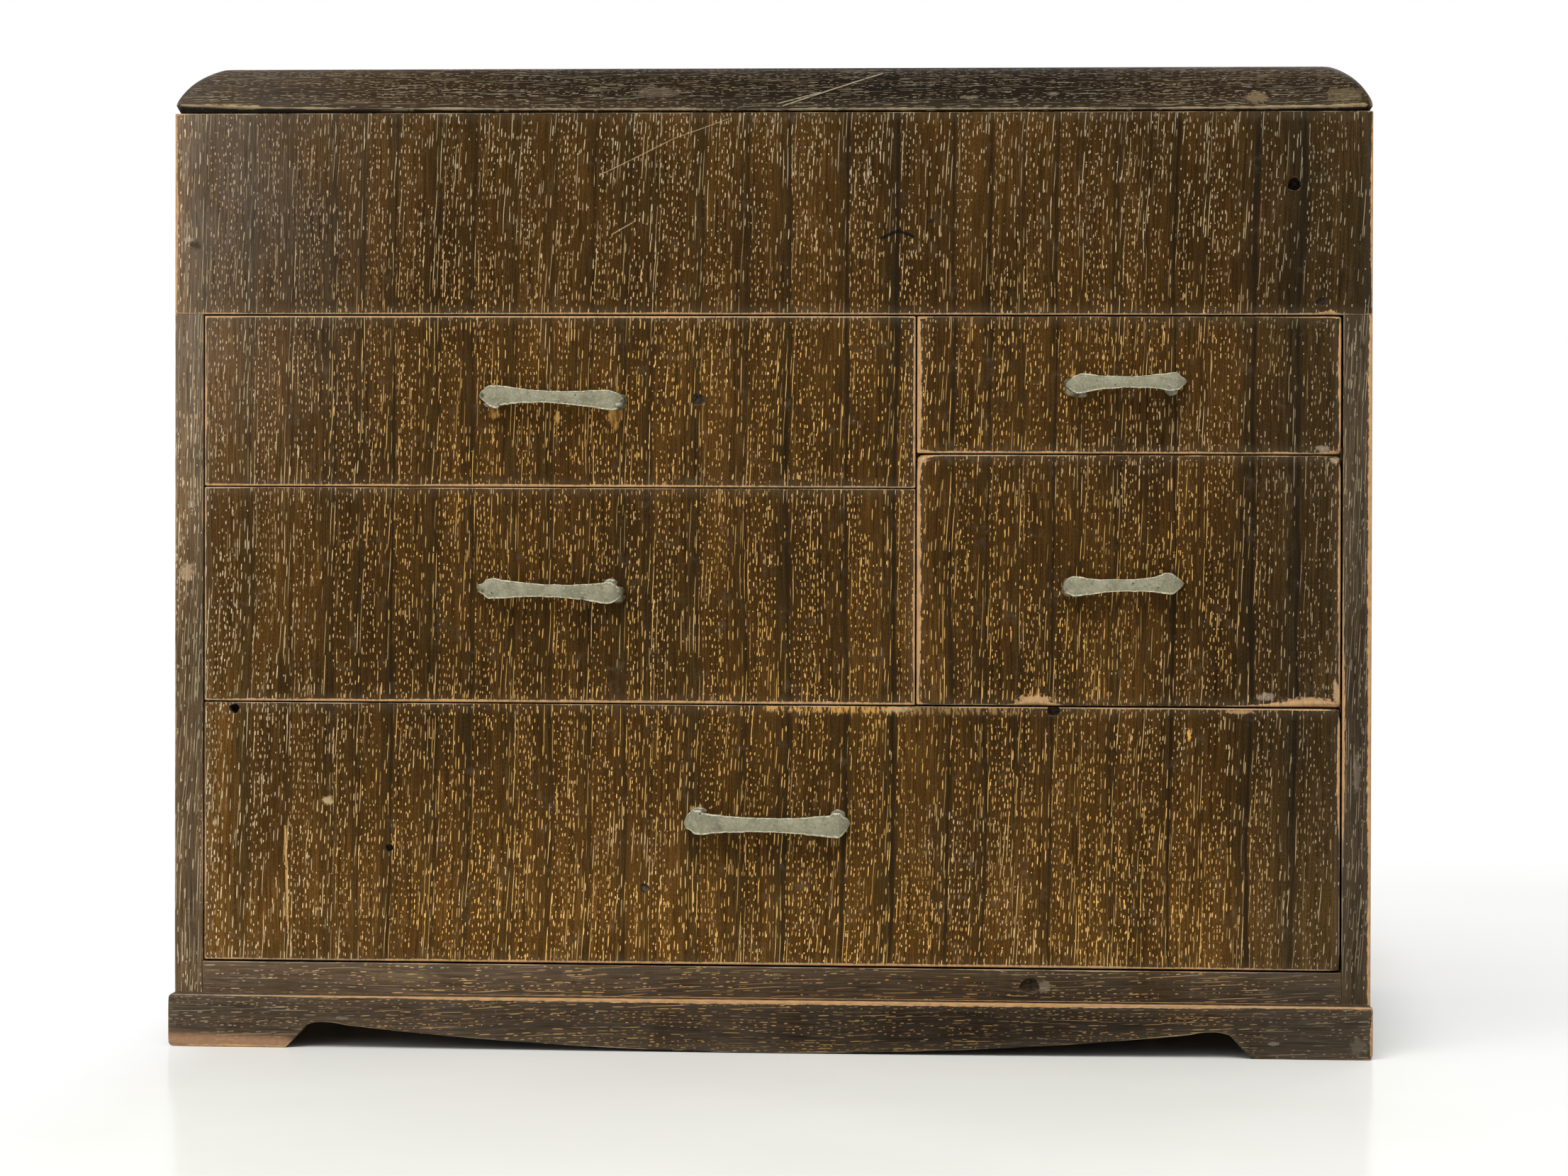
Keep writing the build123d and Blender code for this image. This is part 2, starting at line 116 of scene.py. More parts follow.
class Graph:
    """Short calls for building one material's nodes."""

    def __init__(self, name):
        self.material = bpy.data.materials.new(name)
        self.material.use_nodes = True
        self.tree = self.material.node_tree
        self.tree.nodes.clear()

    def feed(self, socket, value):
        if isinstance(value, Value):
            value = value.socket
        if isinstance(value, bpy.types.NodeSocket):
            self.tree.links.new(value, socket)
        else:
            socket.default_value = value

    def node(self, kind, inputs=None, **settings):
        made = self.tree.nodes.new(kind)
        for key, value in settings.items():
            setattr(made, key, value)
        for key, value in (inputs or {}).items():
            self.feed(made.inputs[key], value)
        return made

    def out(self, kind, inputs=None, output=0, **settings):
        return Value(self, self.node(kind, inputs, **settings).outputs[output])

    def math(self, operation, *values, clamp=False):
        made = self.node("ShaderNodeMath", operation=operation, use_clamp=clamp)
        for socket, value in zip(made.inputs, values):
            self.feed(socket, value)
        return Value(self, made.outputs[0])

    def swing(self, value, amount):
        """How far a noise is from its middle, times an amount."""
        return (value - 0.5) * amount

    def join(self, x=0.0, y=0.0, z=0.0):
        return self.out("ShaderNodeCombineXYZ", {0: x, 1: y, 2: z})

    def split(self, vector):
        return [Value(self, socket) for socket in self.node("ShaderNodeSeparateXYZ", {0: vector}).outputs]

    def scale(self, vector, factor):
        inputs = {0: vector, 1: (factor, factor, factor)}
        return self.out("ShaderNodeVectorMath", inputs, operation="MULTIPLY")

    def length(self, vector):
        return self.out("ShaderNodeVectorMath", {0: vector}, "Value", operation="LENGTH")

    def object_mm(self):
        """The row frame's coordinates in millimetres: every piece's object sits at the origin."""
        return self.scale(self.out("ShaderNodeTexCoord", output="Object"), 1 / MM)

    def noise(self, vector, detail=2.0, roughness=0.5):
        inputs = {"Vector": vector, "Scale": 1.0, "Detail": detail, "Roughness": roughness, "Distortion": 0.0}
        return self.out("ShaderNodeTexNoise", inputs, noise_dimensions="3D")

    def even_noise(self, place, frequency, *settings):
        """Noise that is alike in every direction, with its frequency per millimetre."""
        return self.noise(self.scale(place, frequency), *settings)

    def grain_noise(self, across, along, frequencies, seed, *settings):
        """Noise drawn out along the grain, with its frequencies across and along it per millimetre."""
        place = self.join(across * frequencies[0], along * frequencies[1], seed)
        return self.noise(place, *settings)

    def random(self, value):
        return self.out("ShaderNodeTexWhiteNoise", {"W": value}, "Value", noise_dimensions="1D")

    def fade(self, value, low, high):
        """0 below low, 1 above high, smooth between. low may be the larger."""
        inputs = {"Value": value, "From Min": low, "From Max": high, "To Min": 0.0, "To Max": 1.0}
        return self.out("ShaderNodeMapRange", inputs, interpolation_type="SMOOTHSTEP")

    def ramp(self, value, stops, interpolation="LINEAR"):
        """A colour ramp from (place, colour or grey) stops."""
        made = self.node("ShaderNodeValToRGB", {0: value})
        made.color_ramp.interpolation = interpolation
        elements = made.color_ramp.elements
        while len(elements) < len(stops):
            elements.new(1.0)
        for element, (place, colour) in zip(elements, stops):
            element.position = place
        for element, (place, colour) in zip(elements, stops):
            grey = isinstance(colour, (int, float))
            element.color = (colour, colour, colour, 1) if grey else (*colour, 1)
        return Value(self, made.outputs[0])

    def along_line(self, value, table):
        """A smooth factor from (place, factor) rows."""
        low, high = table[0][0], table[-1][0]
        top = max(factor for _, factor in table)
        share = self.math("SUBTRACT", value, float(low)) / float(high - low)
        stops = [((place - low) / (high - low), factor / top) for place, factor in table]
        return self.ramp(share, stops) * top

    def mix(self, factor, a, b, blend="MIX"):
        made = self.node("ShaderNodeMix", data_type="RGBA", blend_type=blend)
        for index, value in ((0, factor), (6, a), (7, b)):
            if isinstance(value, tuple):
                value = (*value, 1)
            self.feed(made.inputs[index], value)
        return Value(self, made.outputs[2])

    def tint(self, colour, other):
        """One colour multiplied by another, or by a grey value."""
        return self.mix(1.0, colour, other, "MULTIPLY")

    def attribute(self, name):
        return self.out("ShaderNodeAttribute", output="Fac", attribute_name=name)

    def bump(self, height, distance_mm, strength=1.0, normal=None):
        inputs = {"Height": height, "Distance": distance_mm * MM, "Strength": strength}
        if normal is not None:
            inputs["Normal"] = normal
        return self.out("ShaderNodeBump", inputs)

    def finish(self, inputs):
        shader = self.node("ShaderNodeBsdfPrincipled", inputs)
        output = self.node("ShaderNodeOutputMaterial")
        self.tree.links.new(shader.outputs[0], output.inputs[0])
        return self.material


# ---- Wood ---------------------------------------------------------------------------------------

# The dark growth lines across the stained fronts, from left to right, as (place, strength). The
# same wood runs through the well front, the stiles and all drawer fronts, so one list serves all.
GROWTH_LINES = (
    (-80, 0.2), (-71.5, 0.3), (-65.5, 0.5), (-60.5, 0.45), (-54.6, 0.55), (-51.2, 0.3), (-47.3, 0.9),
    (-41.5, 0.55), (-37.2, 0.7), (-31.5, 0.15), (-27.0, 0.6), (-22.0, 0.65), (-17.6, 0.5), (-14.6, 0.45),
    (-8.6, 0.35), (-3.0, 0.6), (2.2, 0.8), (9.5, 0.9), (15.7, 1.0), (22.8, 0.9), (27.4, 0.8),
    (31.5, 0.3), (35.6, 0.95), (38.8, 0.4), (43.8, 0.35), (46.9, 0.5), (50.3, 1.0), (54.0, 0.3),
    (59.9, 1.0), (65.3, 0.85), (73.5, 0.6),
)

# How light the stained wood is along the chest and up it, near the front: (millimetres, share). These hold
# the wood's own tone and painted light: the bright left end is partly a painted highlight, and the fall
# towards the right and towards the top is partly painted light and shade.
FRONT_TONES_AND_LIGHT = (
    (-76, 2.9), (-70.5, 1.45), (-64, 1.18), (-57, 1.0), (-45, 0.90), (-30, 0.98), (-15, 1.02), (-4, 0.92),
    (8, 0.98), (20, 0.94), (32, 0.96), (46, 0.90), (56, 0.84), (66, 0.76), (76, 0.90),
)
HEIGHT_TONES_AND_LIGHT = (
    (0, 1.15), (17, 1.25), (26, 0.98), (36, 0.87), (48, 0.86), (60, 0.78), (75, 0.80), (86, 0.87),
    (95, 0.70), (112, 0.78), (124, 0.82),
)
# The lid's front, painted dark and darkest right of the middle: the wood's own tone, and painted shade that
# holds back the key light on its curved edge.
LID_TONES_AND_SHADE = (
    (-76, 0.56), (-62, 0.45), (-50, 0.32), (-30, 0.23), (-12, 0.18), (5, 0.15), (22, 0.13), (38, 0.13),
    (50, 0.21), (60, 0.30), (76, 0.34),
)
RAIL_TONES = (
    (-76, 1.45), (-60, 1.42), (-40, 1.45), (-15, 0.95), (0, 0.84), (20, 0.66), (38, 0.72), (56, 0.86),
    (76, 0.92),
)
APRON_TONES = (
    (-76, 0.80), (-60, 0.72), (-40, 0.70), (-15, 0.60), (0, 0.50), (15, 0.34), (25, 0.26), (38, 0.30),
    (56, 0.48), (76, 0.70),
)
# The sides' front edges: the bright left end is partly a painted highlight.
SIDE_TONES_AND_LIGHT = ((-76, 2.1), (-71, 1.9), (-66, 1.0), (66, 1.04), (76, 1.12))
SIDE_HEIGHTS = (
    (0, 1.00), (9, 0.98), (13, 0.70), (24, 0.78), (36, 0.72), (50, 0.62), (63, 0.92), (78, 0.95), (88, 0.83),
    (96, 0.75), (124, 0.80),
)
LEVEL_TONES = ((0, 1.0), (124, 1.0))     # no change with height
FLANK_TONE = 0.75            # the tone of everything further back
FRONT_ONLY = (9.0, 16.0)     # the front's own tones fade out between these depths behind it
# the lid's top, painted darker than the other boards' flanks to meet its front's painted shade
LID_FLANK_TONE_AND_SHADE = 0.36
LID_FRONT_ONLY = (5.0, 34.0)
SIDE_FRONT_ONLY = (0.4, 4.5)

GROUND_WARM = (0.077, 0.0355, 0.0070)
GROUND_DARK = (0.044, 0.0212, 0.0046)
GROUND_DULL = (0.037, 0.0220, 0.0062)
GROWTH_DARK = (0.0125, 0.0088, 0.0040)
GREY_WOOD = (0.089, 0.070, 0.053)
DULL_SHIFT = (0.80, 1.02, 1.75)      # turns the brown ground greyer
BARE = (0.54, 0.300, 0.130)          # wood that the stain has worn off
BARE_DULL = (0.36, 0.220, 0.108)
LID_BARE = ((0.15, 0.108, 0.052), (0.30, 0.215, 0.110))
PALE_GREY = (0.30, 0.235, 0.150)
PORE_WARM = (0.70, 0.405, 0.120)
PORE_PALE = (0.47, 0.38, 0.235)
PORE_BROWN = (0.20, 0.125, 0.045)
PORE_GREY = (0.16, 0.135, 0.10)
PORE_DULL = (0.20, 0.165, 0.115)
END_GRAIN = ((0.050, 0.034, 0.018), (0.215, 0.140, 0.068))
GLUE_RUN = ((0.16, 0.075, 0.018), (0.50, 0.27, 0.065))
EDGE_SOIL = (0.16, 0.125, 0.08)
# near-black painted shade for the lid's undercut below its lower arris
UNDERCUT_PAINTED_SHADE = (0.006, 0.005, 0.004)
DUST = (0.30, 0.25, 0.18)

# Colours of the plain wood inside, of the worm holes, and of metal and glue.
BARE_PORE = (0.12, 0.068, 0.03)
BARE_END = (0.15, 0.09, 0.045)
BARE_DIRT = (0.13, 0.095, 0.06)
HOLE = ((0.014, 0.009, 0.005), (0.11, 0.065, 0.028))
METAL = ((0.150, 0.142, 0.088), (0.255, 0.242, 0.162))
METAL_SMUDGE = (0.115, 0.108, 0.088)
METAL_CHALK = (0.35, 0.332, 0.232)
# a painted highlight along the handle bar's edges
METAL_RIM_HIGHLIGHT = (0.54, 0.50, 0.36)
METAL_PIT = (0.035, 0.033, 0.025)
# dirt and painted shade on the handle's flanks, groove and dents
METAL_GRIME_AND_SHADE = (0.07, 0.068, 0.042)
GLUE = ((0.040, 0.042, 0.026), (0.17, 0.145, 0.075))
BRASS = ((0.46, 0.31, 0.105), (0.17, 0.105, 0.04))
BRASS_STAIN = (0.10, 0.075, 0.035)
STEEL = ((0.30, 0.29, 0.27), (0.13, 0.07, 0.035))

# Where the stained wood changes slowly, in millimetres along the chest and up it: each pair is
# where a change has not begun and where it is complete.
RIGHT_END = (54.0, 67.0)     # fewer and duller pores, duller ground
RICH_RIGHT, RICH_LOW = (-30.0, 12.0), (44.0, 14.0)       # more pores low on the right
FADED_LEFT, FADED_HIGH = (-40.0, -74.0), (60.0, 112.0)   # greyed by handling and sun
WARM_CENTRE = 4.0
WARM_REACH, WARM_BELOW = (76.0, 45.0), (118.0, 80.0)     # warmer filling in the pores
MARKS_DEPTH = (8.0, 6.0)     # the small marks end behind the front
GROWTH_LEAN, GROWTH_LEAN_FROM = -0.010, 60.0             # the growth lines' lean, and the height without any

PORE_LEAN = 0.035            # how far the pores lean off the grain
# cell across and along, half width, longest half length, and seed of each kind of pore
PORE_LAYERS = (
    ((0.46, 0.95), 0.066, 0.33, 1.0),
    ((0.50, 1.85), 0.062, 0.85, 2.0),
    ((0.50, 6.50), 0.042, 3.60, 3.0),
)
# how common each kind is from one growth line, 0, to the next, 1
DOTS_WHERE = ((0.0, 0.50), (0.08, 1.0), (0.46, 0.95), (0.62, 0.20), (1.0, 0.06))
DASHES_WHERE = ((0.0, 0.25), (0.30, 0.04), (0.50, 0.55), (0.86, 0.62), (1.0, 0.40))
LONG_WHERE = ((0.0, 0.95), (0.12, 0.60), (0.20, 0.06), (0.72, 0.10), (0.86, 0.45), (1.0, 0.95))


def grain_places(g, grain):
    """(across, along, end) of the grain in millimetres. grain is the axis that it runs along; end is
    1 on the faces that cut across it."""
    x, y, z = g.split(g.object_mm())
    behind = y - float(FRONT_Y)
    normal = g.split(g.out("ShaderNodeTexCoord", output="Normal"))
    if grain == "z":
        # round the corner onto the sides, the count runs back towards the middle
        back = behind * g.math("SIGN", x)
        across, along, out = x - back, z, normal[2]
    elif grain == "x":
        across, along, out = z + behind, x, normal[0]
    else:
        across, along, out = z + x, behind, normal[1]
    end = g.fade(abs(out), 0.6, 0.85)
    return across, along, end


def listed_lines(g, moved):
    """(count of growth lines so far, nearest line, its strength) from GROWTH_LINES."""
    low, high = GROWTH_LINES[0][0], GROWTH_LINES[-1][0]
    count = len(GROWTH_LINES) - 1
    stops = [((place - low) / (high - low), n / count) for n, (place, _) in enumerate(GROWTH_LINES)]
    share = (moved - float(low)) / float(high - low)
    lines = g.ramp(share, stops) * float(count)
    nearest = g.math("FLOOR", lines + 0.5)
    strengths = [(max(0.0, (n - 0.5) / count), strength) for n, (_, strength) in enumerate(GROWTH_LINES)]
    strength = g.ramp(nearest / float(count), strengths, "CONSTANT")
    return lines, nearest, strength


def growth_lines(g, across, along, grain, seed):
    """Follows the growth lines. Gives (moved, cycle, line, tone): the place across the grain with its
    gentle wander, 0 to 1 from one line to the next, the dark line itself, and a random tone for
    each band."""
    wander = g.grain_noise(across, along, (0.02, 0.013), seed, 1.0)
    wobble = g.grain_noise(across, along, (0.15, 0.06), seed + 3.0, 2.0)
    moved = across + g.swing(wander, 2.6)
    moved = moved + g.swing(wobble, 0.9)
    if grain == "z":
        moved = moved + (along - GROWTH_LEAN_FROM) * GROWTH_LEAN
        lines, nearest, strength = listed_lines(g, moved)
    else:
        lines = moved * 0.36 + wander * 2.5
        nearest = g.math("FLOOR", lines + 0.5)
        strength = g.random(nearest + seed)
    cycle = g.math("FRACT", lines)
    beside = lines - nearest
    thin = g.grain_noise(moved, along, (0.9, 0.07), seed + 4.0, 3.0)
    width = g.fade(thin, 0.25, 0.75) * 0.085
    frayed = g.grain_noise(moved, along, (5.0, 0.25), seed + 9.0, 3.0, 0.6)
    width = (width + 0.012) * (frayed * 1.6 + 0.2)
    line = g.fade(abs(beside), width + 0.02, width * 0.3)
    shade = g.fade(abs(beside + 0.07), 0.30, 0.0)
    line = g.math("MAXIMUM", line, shade * (thin * 0.6 + 0.05))
    line = line * strength
    tone = g.random(g.math("FLOOR", lines) + seed)
    return moved, cycle, line, tone


def line_mark(g, x, z, start, end, half_width):
    """1 on a straight scratch between two points of the front, fading at its sides."""
    dx, dz = end[0] - start[0], end[1] - start[1]
    size = dx * dx + dz * dz
    off_x, off_z = x - float(start[0]), z - float(start[1])
    along = g.math("ADD", off_x * (dx / size), off_z * (dz / size), clamp=True)
    rest = g.join(off_x - along * dx, off_z - along * dz)
    return g.fade(g.length(rest), half_width, half_width * 0.35)


def spot_mark(g, x, z, centre, radii, rough):
    """1 inside a ragged oval of the front. rough is a noise socket about 0.5."""
    offset = g.join((x - float(centre[0])) * (1 / radii[0]),
                    (z - float(centre[1])) * (1 / radii[1]))
    return g.fade(g.length(offset) + g.swing(rough, 2.6), 1.1, 0.6)


def draw_marks(g, colour, x, z, near, marks):
    """Lays a board's scratches, plugs and stains over its colour, near the front only."""
    fine = g.grain_noise(x, z, (1.7, 1.7), 31.0, 4.0, 0.7)
    fibre = g.grain_noise(x, z, (3.4, 0.6), 37.0, 3.0, 0.6)
    for kind, first, second, size, paint, amount in marks:
        if kind == "spot":
            mask = spot_mark(g, x, z, first, second, fine)
        else:
            mask = line_mark(g, x, z, first, second, size)
            if kind == "line":
                broken = g.fade(fine, 0.34, 0.50)
            elif kind == "soft":
                broken = fine * 0.9 + 0.45
            else:
                broken = g.fade(fibre, 0.46, 0.56)
            mask = mask * broken
        colour = g.mix(mask * near * amount, colour, paint)
    return colour


# kind, start or middle, end or radii, half width, colour, amount
FRONT_MARKS = (
    ("line", (-21.2, 109.4), (-17.4, 111.2), 0.09, (0.36, 0.26, 0.14), 0.7),
    ("line", (-17.4, 111.2), (-12.0, 113.9), 0.09, (0.36, 0.26, 0.14), 0.7),
    ("line", (-12.0, 113.9), (-5.0, 116.4), 0.08, (0.36, 0.26, 0.14), 0.6),
    ("line", (-19.6, 102.0), (-16.8, 103.6), 0.10, (0.40, 0.30, 0.18), 0.6),
    ("soft", (14.2, 101.5), (16.2, 102.4), 0.32, (0.004, 0.0035, 0.003), 1.0),
    ("soft", (16.2, 102.4), (18.1, 101.7), 0.30, (0.004, 0.0035, 0.003), 1.0),
    ("spot", (20.35, 103.65), (0.42, 0.36), 0, (0.006, 0.005, 0.004), 0.95),
    ("spot", (-72.4, 100.6), (0.8, 0.6), 0, (0.035, 0.028, 0.018), 0.8),
    ("spot", (-73.3, 101.3), (0.7, 0.35), 0, (0.32, 0.27, 0.20), 0.5),
    ("spot", (-55.5, 30.8), (0.75, 0.62), 0, (0.42, 0.30, 0.15), 0.85),
    ("spot", (52.5, 39.9), (0.26, 0.75), 0, (0.62, 0.34, 0.08), 0.85),
    ("spot", (-26.5, 79.0), (0.35, 0.8), 0, (0.60, 0.34, 0.09), 0.7),
    ("spot", (16.4, 42.75), (2.0, 0.40), 0, (0.46, 0.33, 0.20), 0.75),
    ("spot", (33.4, 44.0), (2.4, 0.75), 0, (0.50, 0.30, 0.15), 0.8),
    ("spot", (67.4, 44.0), (3.4, 0.60), 0, (0.46, 0.29, 0.155), 0.75),
    ("spot", (62.0, 44.6), (1.2, 0.5), 0, (0.34, 0.27, 0.20), 0.5),
    ("spot", (70.6, 45.4), (0.35, 1.6), 0, (0.46, 0.30, 0.16), 0.7),
    ("spot", (19.3, 73.9), (0.8, 0.45), 0, (0.44, 0.30, 0.17), 0.7),
    ("spot", (70.3, 73.9), (0.7, 0.4), 0, (0.42, 0.31, 0.19), 0.6),
    ("spot", (69.0, 75.4), (1.0, 0.4), 0, (0.34, 0.27, 0.19), 0.5),
    ("spot", (58.7, 42.7), (1.6, 0.28), 0, (0.42, 0.26, 0.13), 0.7),
    ("line", (-60.6, 15.5), (-60.9, 27.5), 0.20, (0.55, 0.32, 0.09), 0.75),
    ("fray", (0.0, 42.9), (16.0, 42.7), 0.75, (0.52, 0.28, 0.07), 0.85),
    ("fray", (17.0, 42.6), (31.0, 42.6), 0.65, (0.26, 0.15, 0.05), 0.8),
)
LID_MARKS = (
    ("line", (1.8, 118.0), (14.0, 122.2), 0.11, (0.30, 0.24, 0.155), 0.8),
    ("line", (1.2, 118.3), (6.4, 119.7), 0.09, (0.36, 0.30, 0.20), 0.6),
    ("spot", (-14.0, 119.8), (3.2, 0.7), 0, (0.13, 0.10, 0.065), 0.35),
    ("spot", (60.6, 118.9), (1.5, 0.8), 0, (0.19, 0.135, 0.070), 0.55),
    ("spot", (71.5, 119.2), (2.6, 1.0), 0, (0.15, 0.115, 0.060), 0.4),
    ("spot", (25.0, 119.0), (1.3, 0.25), 0, (0.17, 0.14, 0.09), 0.5),
    ("spot", (35.5, 119.4), (0.9, 0.25), 0, (0.18, 0.15, 0.10), 0.5),
)
APRON_MARKS = (
    ("spot", (-53.0, 3.8), (0.9, 0.25), 0, (0.20, 0.18, 0.13), 0.45),
    ("spot", (63.0, 1.9), (0.8, 0.25), 0, (0.22, 0.19, 0.14), 0.5),
    ("spot", (73.4, 1.6), (1.1, 1.2), 0, (0.15, 0.125, 0.09), 0.4),
    ("soft", (-74.8, 0.35), (-60.5, 0.0), 1.9, (0.34, 0.19, 0.105), 0.85),
)
SIDE_MARKS = (
    ("spot", (-73.5, 59.5), (0.9, 1.3), 0, (0.40, 0.28, 0.17), 0.6),
    ("spot", (-72.9, 68.0), (0.6, 0.5), 0, (0.30, 0.25, 0.19), 0.5),
    ("spot", (73.2, 35.0), (0.5, 2.5), 0, (0.22, 0.18, 0.13), 0.35),
)
RAIL_MARKS = (
    ("spot", (34.6, 8.3), (0.9, 0.9), 0, (0.20, 0.16, 0.11), 0.6),
    ("spot", (-46.0, 8.7), (5.0, 0.7), 0, (0.22, 0.16, 0.08), 0.25),
)


def pore_layer(g, across, along, cell, half_width, half_length, chance, seed):
    """(mask, random number) of one layer of short pale pores. cell is the mean spacing across and
    along the grain. half_length is the longest; chance is a socket from 0 to 1."""
    scaled = g.join(across * (1 / cell[0]), along * (1 / cell[1]), 0.0)
    shifted = g.out("ShaderNodeVectorMath", {0: scaled, 1: (seed * 7.3, seed * 3.1, 0)})
    cells = g.node("ShaderNodeTexVoronoi", {"Vector": shifted, "Scale": 1.0, "Randomness": 0.78},
                   voronoi_dimensions="2D")
    inputs = {0: shifted, 1: cells.outputs["Position"]}
    dx, dz, _ = g.split(g.out("ShaderNodeVectorMath", inputs, operation="SUBTRACT"))
    exists, length_share, level = g.split(cells.outputs["Color"])
    leaning = dx * cell[0] - dz * (cell[1] * PORE_LEAN)
    shape_x = abs(leaning * (1 / half_width))
    length = (length_share * 0.75 + 0.25) * (half_length / cell[1])
    shape_z = abs(dz / length)
    distance = g.math("POWER", shape_x, 2.0) + g.math("POWER", shape_z, 3.0)
    inside = g.fade(distance, 1.35, 0.75)
    shown = g.math("LESS_THAN", exists, chance)
    return inside * shown, level


def stained_ground(g, moved, along, cycle, line, tone, seed):
    """(colour, fibre) of the ground: slow blotches, fine fibres, and the dark growth lines."""
    blotch = g.grain_noise(moved, along, (0.09, 0.03), seed + 5.0, 4.0)
    ground = g.mix(g.fade(blotch, 0.32, 0.68), GROUND_DARK, GROUND_WARM)
    ground = g.mix(g.fade(cycle, 0.55, 0.95) * (tone * 0.7), ground, GROUND_DULL)
    fibre = g.grain_noise(moved, along, (6.0, 0.14), seed + 1.0, 5.0, 0.65)
    ground = g.tint(ground, g.ramp(fibre, [(0.30, 0.35), (0.42, 0.75), (0.52, 1.02), (0.72, 1.9)]))
    streak = g.grain_noise(moved, along, (1.5, 0.035), seed + 6.0, 3.0, 0.6)
    ground = g.tint(ground, g.ramp(streak, [(0.30, 0.62), (0.46, 1.0), (0.7, 1.25)]))
    grit = g.grain_noise(moved, along, (7.0, 3.5), seed + 2.0, 3.0, 0.7)
    ground = g.tint(ground, g.ramp(grit, [(0.32, 0.62), (0.5, 1.0), (0.68, 1.45)]))
    return g.mix(line * 0.76, ground, GROWTH_DARK), fibre


def stained_pores(g, moved, along, cycle, line, grain, seed, chance, sparse_end, streaky):
    """(mask, random level, (x, y, z), right end) of all the pores: short dots after a growth line,
    dashes further on, fine long ones beside the dark lines."""
    patch = g.grain_noise(moved, along, (0.30, 0.07), seed + 8.0, 2.0)
    richness = (g.fade(patch, 0.25, 0.60) * 0.70 + 0.38) * chance
    richness = richness * g.fade(line, 0.9, 0.35)
    place = g.split(g.object_mm())
    x, _, z = place
    right_end = g.fade(x, *RIGHT_END)
    richness = richness * (right_end * -sparse_end + 1.0)
    if grain == "z":
        rich_corner = g.fade(z, *RICH_LOW) * g.fade(x, *RICH_RIGHT)
        richness = richness * (rich_corner * 0.30 + 1.0)
    sway = g.grain_noise(moved, along, (0.25, 0.05), seed + 9.5, 1.0)
    zone = cycle + g.swing(sway, 0.9)
    where = [g.ramp(zone, DOTS_WHERE), g.ramp(zone, DASHES_WHERE)]
    where.append(g.ramp(cycle, LONG_WHERE) + streaky)
    pores, level = None, None
    for (cell, half_width, half_length, offset), here in zip(PORE_LAYERS, where):
        mask, shade = pore_layer(g, moved, along, cell, half_width, half_length, here * richness,
                                 seed + offset)
        mask = mask * (shade * 0.6 + 0.40)
        pores = mask if pores is None else g.math("MAXIMUM", pores, mask)
        level = shade if level is None else level + shade
    return pores, level, place, right_end


def pore_paint(g, x, z, level, right_end, pore_grey, seed):
    """The pores' filling: warm in the middle and low down, duller at the ends and at the top."""
    middle = g.fade(abs(x - WARM_CENTRE), *WARM_REACH)
    low = g.fade(z, *WARM_BELOW)
    warmth_noise = g.grain_noise(x, z, (0.05, 0.06), seed + 11.0, 2.0)
    warmth = middle * low * g.fade(warmth_noise, 0.10, 0.55)
    paint = g.mix(warmth, PORE_PALE, PORE_WARM)
    paint = g.mix(g.fade(level, 0.8, 2.0), g.mix(0.5, paint, PORE_BROWN), paint)
    paint = g.mix(pore_grey, paint, PORE_GREY)
    return g.mix(right_end * 0.45, paint, PORE_DULL)


def faded_grey(g, colour, x, z, pores, fibre, greyness, seed):
    """Handled and sunned areas lose their brown."""
    left_fade = g.fade(x, *FADED_LEFT) * g.fade(z, *FADED_HIGH)
    fade_noise = g.grain_noise(x, z, (0.11, 0.05), seed + 14.0, 3.0)
    amount = left_fade * 0.85 + greyness
    amount = amount * g.fade(fade_noise, 0.05, 0.55)
    grey_wood = g.tint(GREY_WOOD, g.ramp(fibre, [(0.32, 0.35), (0.45, 0.85), (0.55, 1.1), (0.70, 1.8)]))
    share = g.math("MULTIPLY", amount, 0.85, clamp=True) * (pores * -0.55 + 1.0)
    return g.mix(share, colour, grey_wood)


def worn_edges(g, colour, moved, along, bare, seed):
    """(colour, worn, place): a fine pale line on every edge, and bare wood where rub is high."""
    edge = g.attribute("edge_mm")
    rub = g.attribute("rub")
    place = g.object_mm()
    ragged = g.grain_noise(moved, along, (2.4, 0.7), seed + 17.0, 4.0, 0.65)
    coarse = g.even_noise(place, 0.11, 2.0)
    width = g.fade(coarse, 0.36, 0.70) * 0.13
    width = width + 0.01 + rub * 0.34
    width = width * (ragged * 1.7 + 0.15)
    worn = g.fade(edge - width, 0.06, -0.04)
    bareness = g.math("ADD", rub * 1.4, (coarse - 0.42) * 1.5, clamp=True)
    worn_colour = g.mix(bareness, PALE_GREY, g.mix(g.fade(ragged, 0.35, 0.62), *bare))
    colour = g.mix(worn * 0.9, colour, worn_colour)
    soil = g.fade(edge, 1.6, 0.2)
    return g.mix(soil * 0.10, colour, EDGE_SOIL), worn, place


def glue_runs(g, colour, x, z, seed):
    """Glue and varnish that ran at the handles."""
    stain = g.attribute("stain")
    run = g.grain_noise(x, z, (1.5, 0.55), seed + 21.0, 3.0, 0.6)
    stained = g.fade(stain + g.swing(run, 1.1), 0.45, 0.75)
    stained = stained * g.fade(stain, 0.02, 0.2)
    return g.mix(stained * 0.85, colour, g.mix(g.fade(run, 0.4, 0.65), *GLUE_RUN))


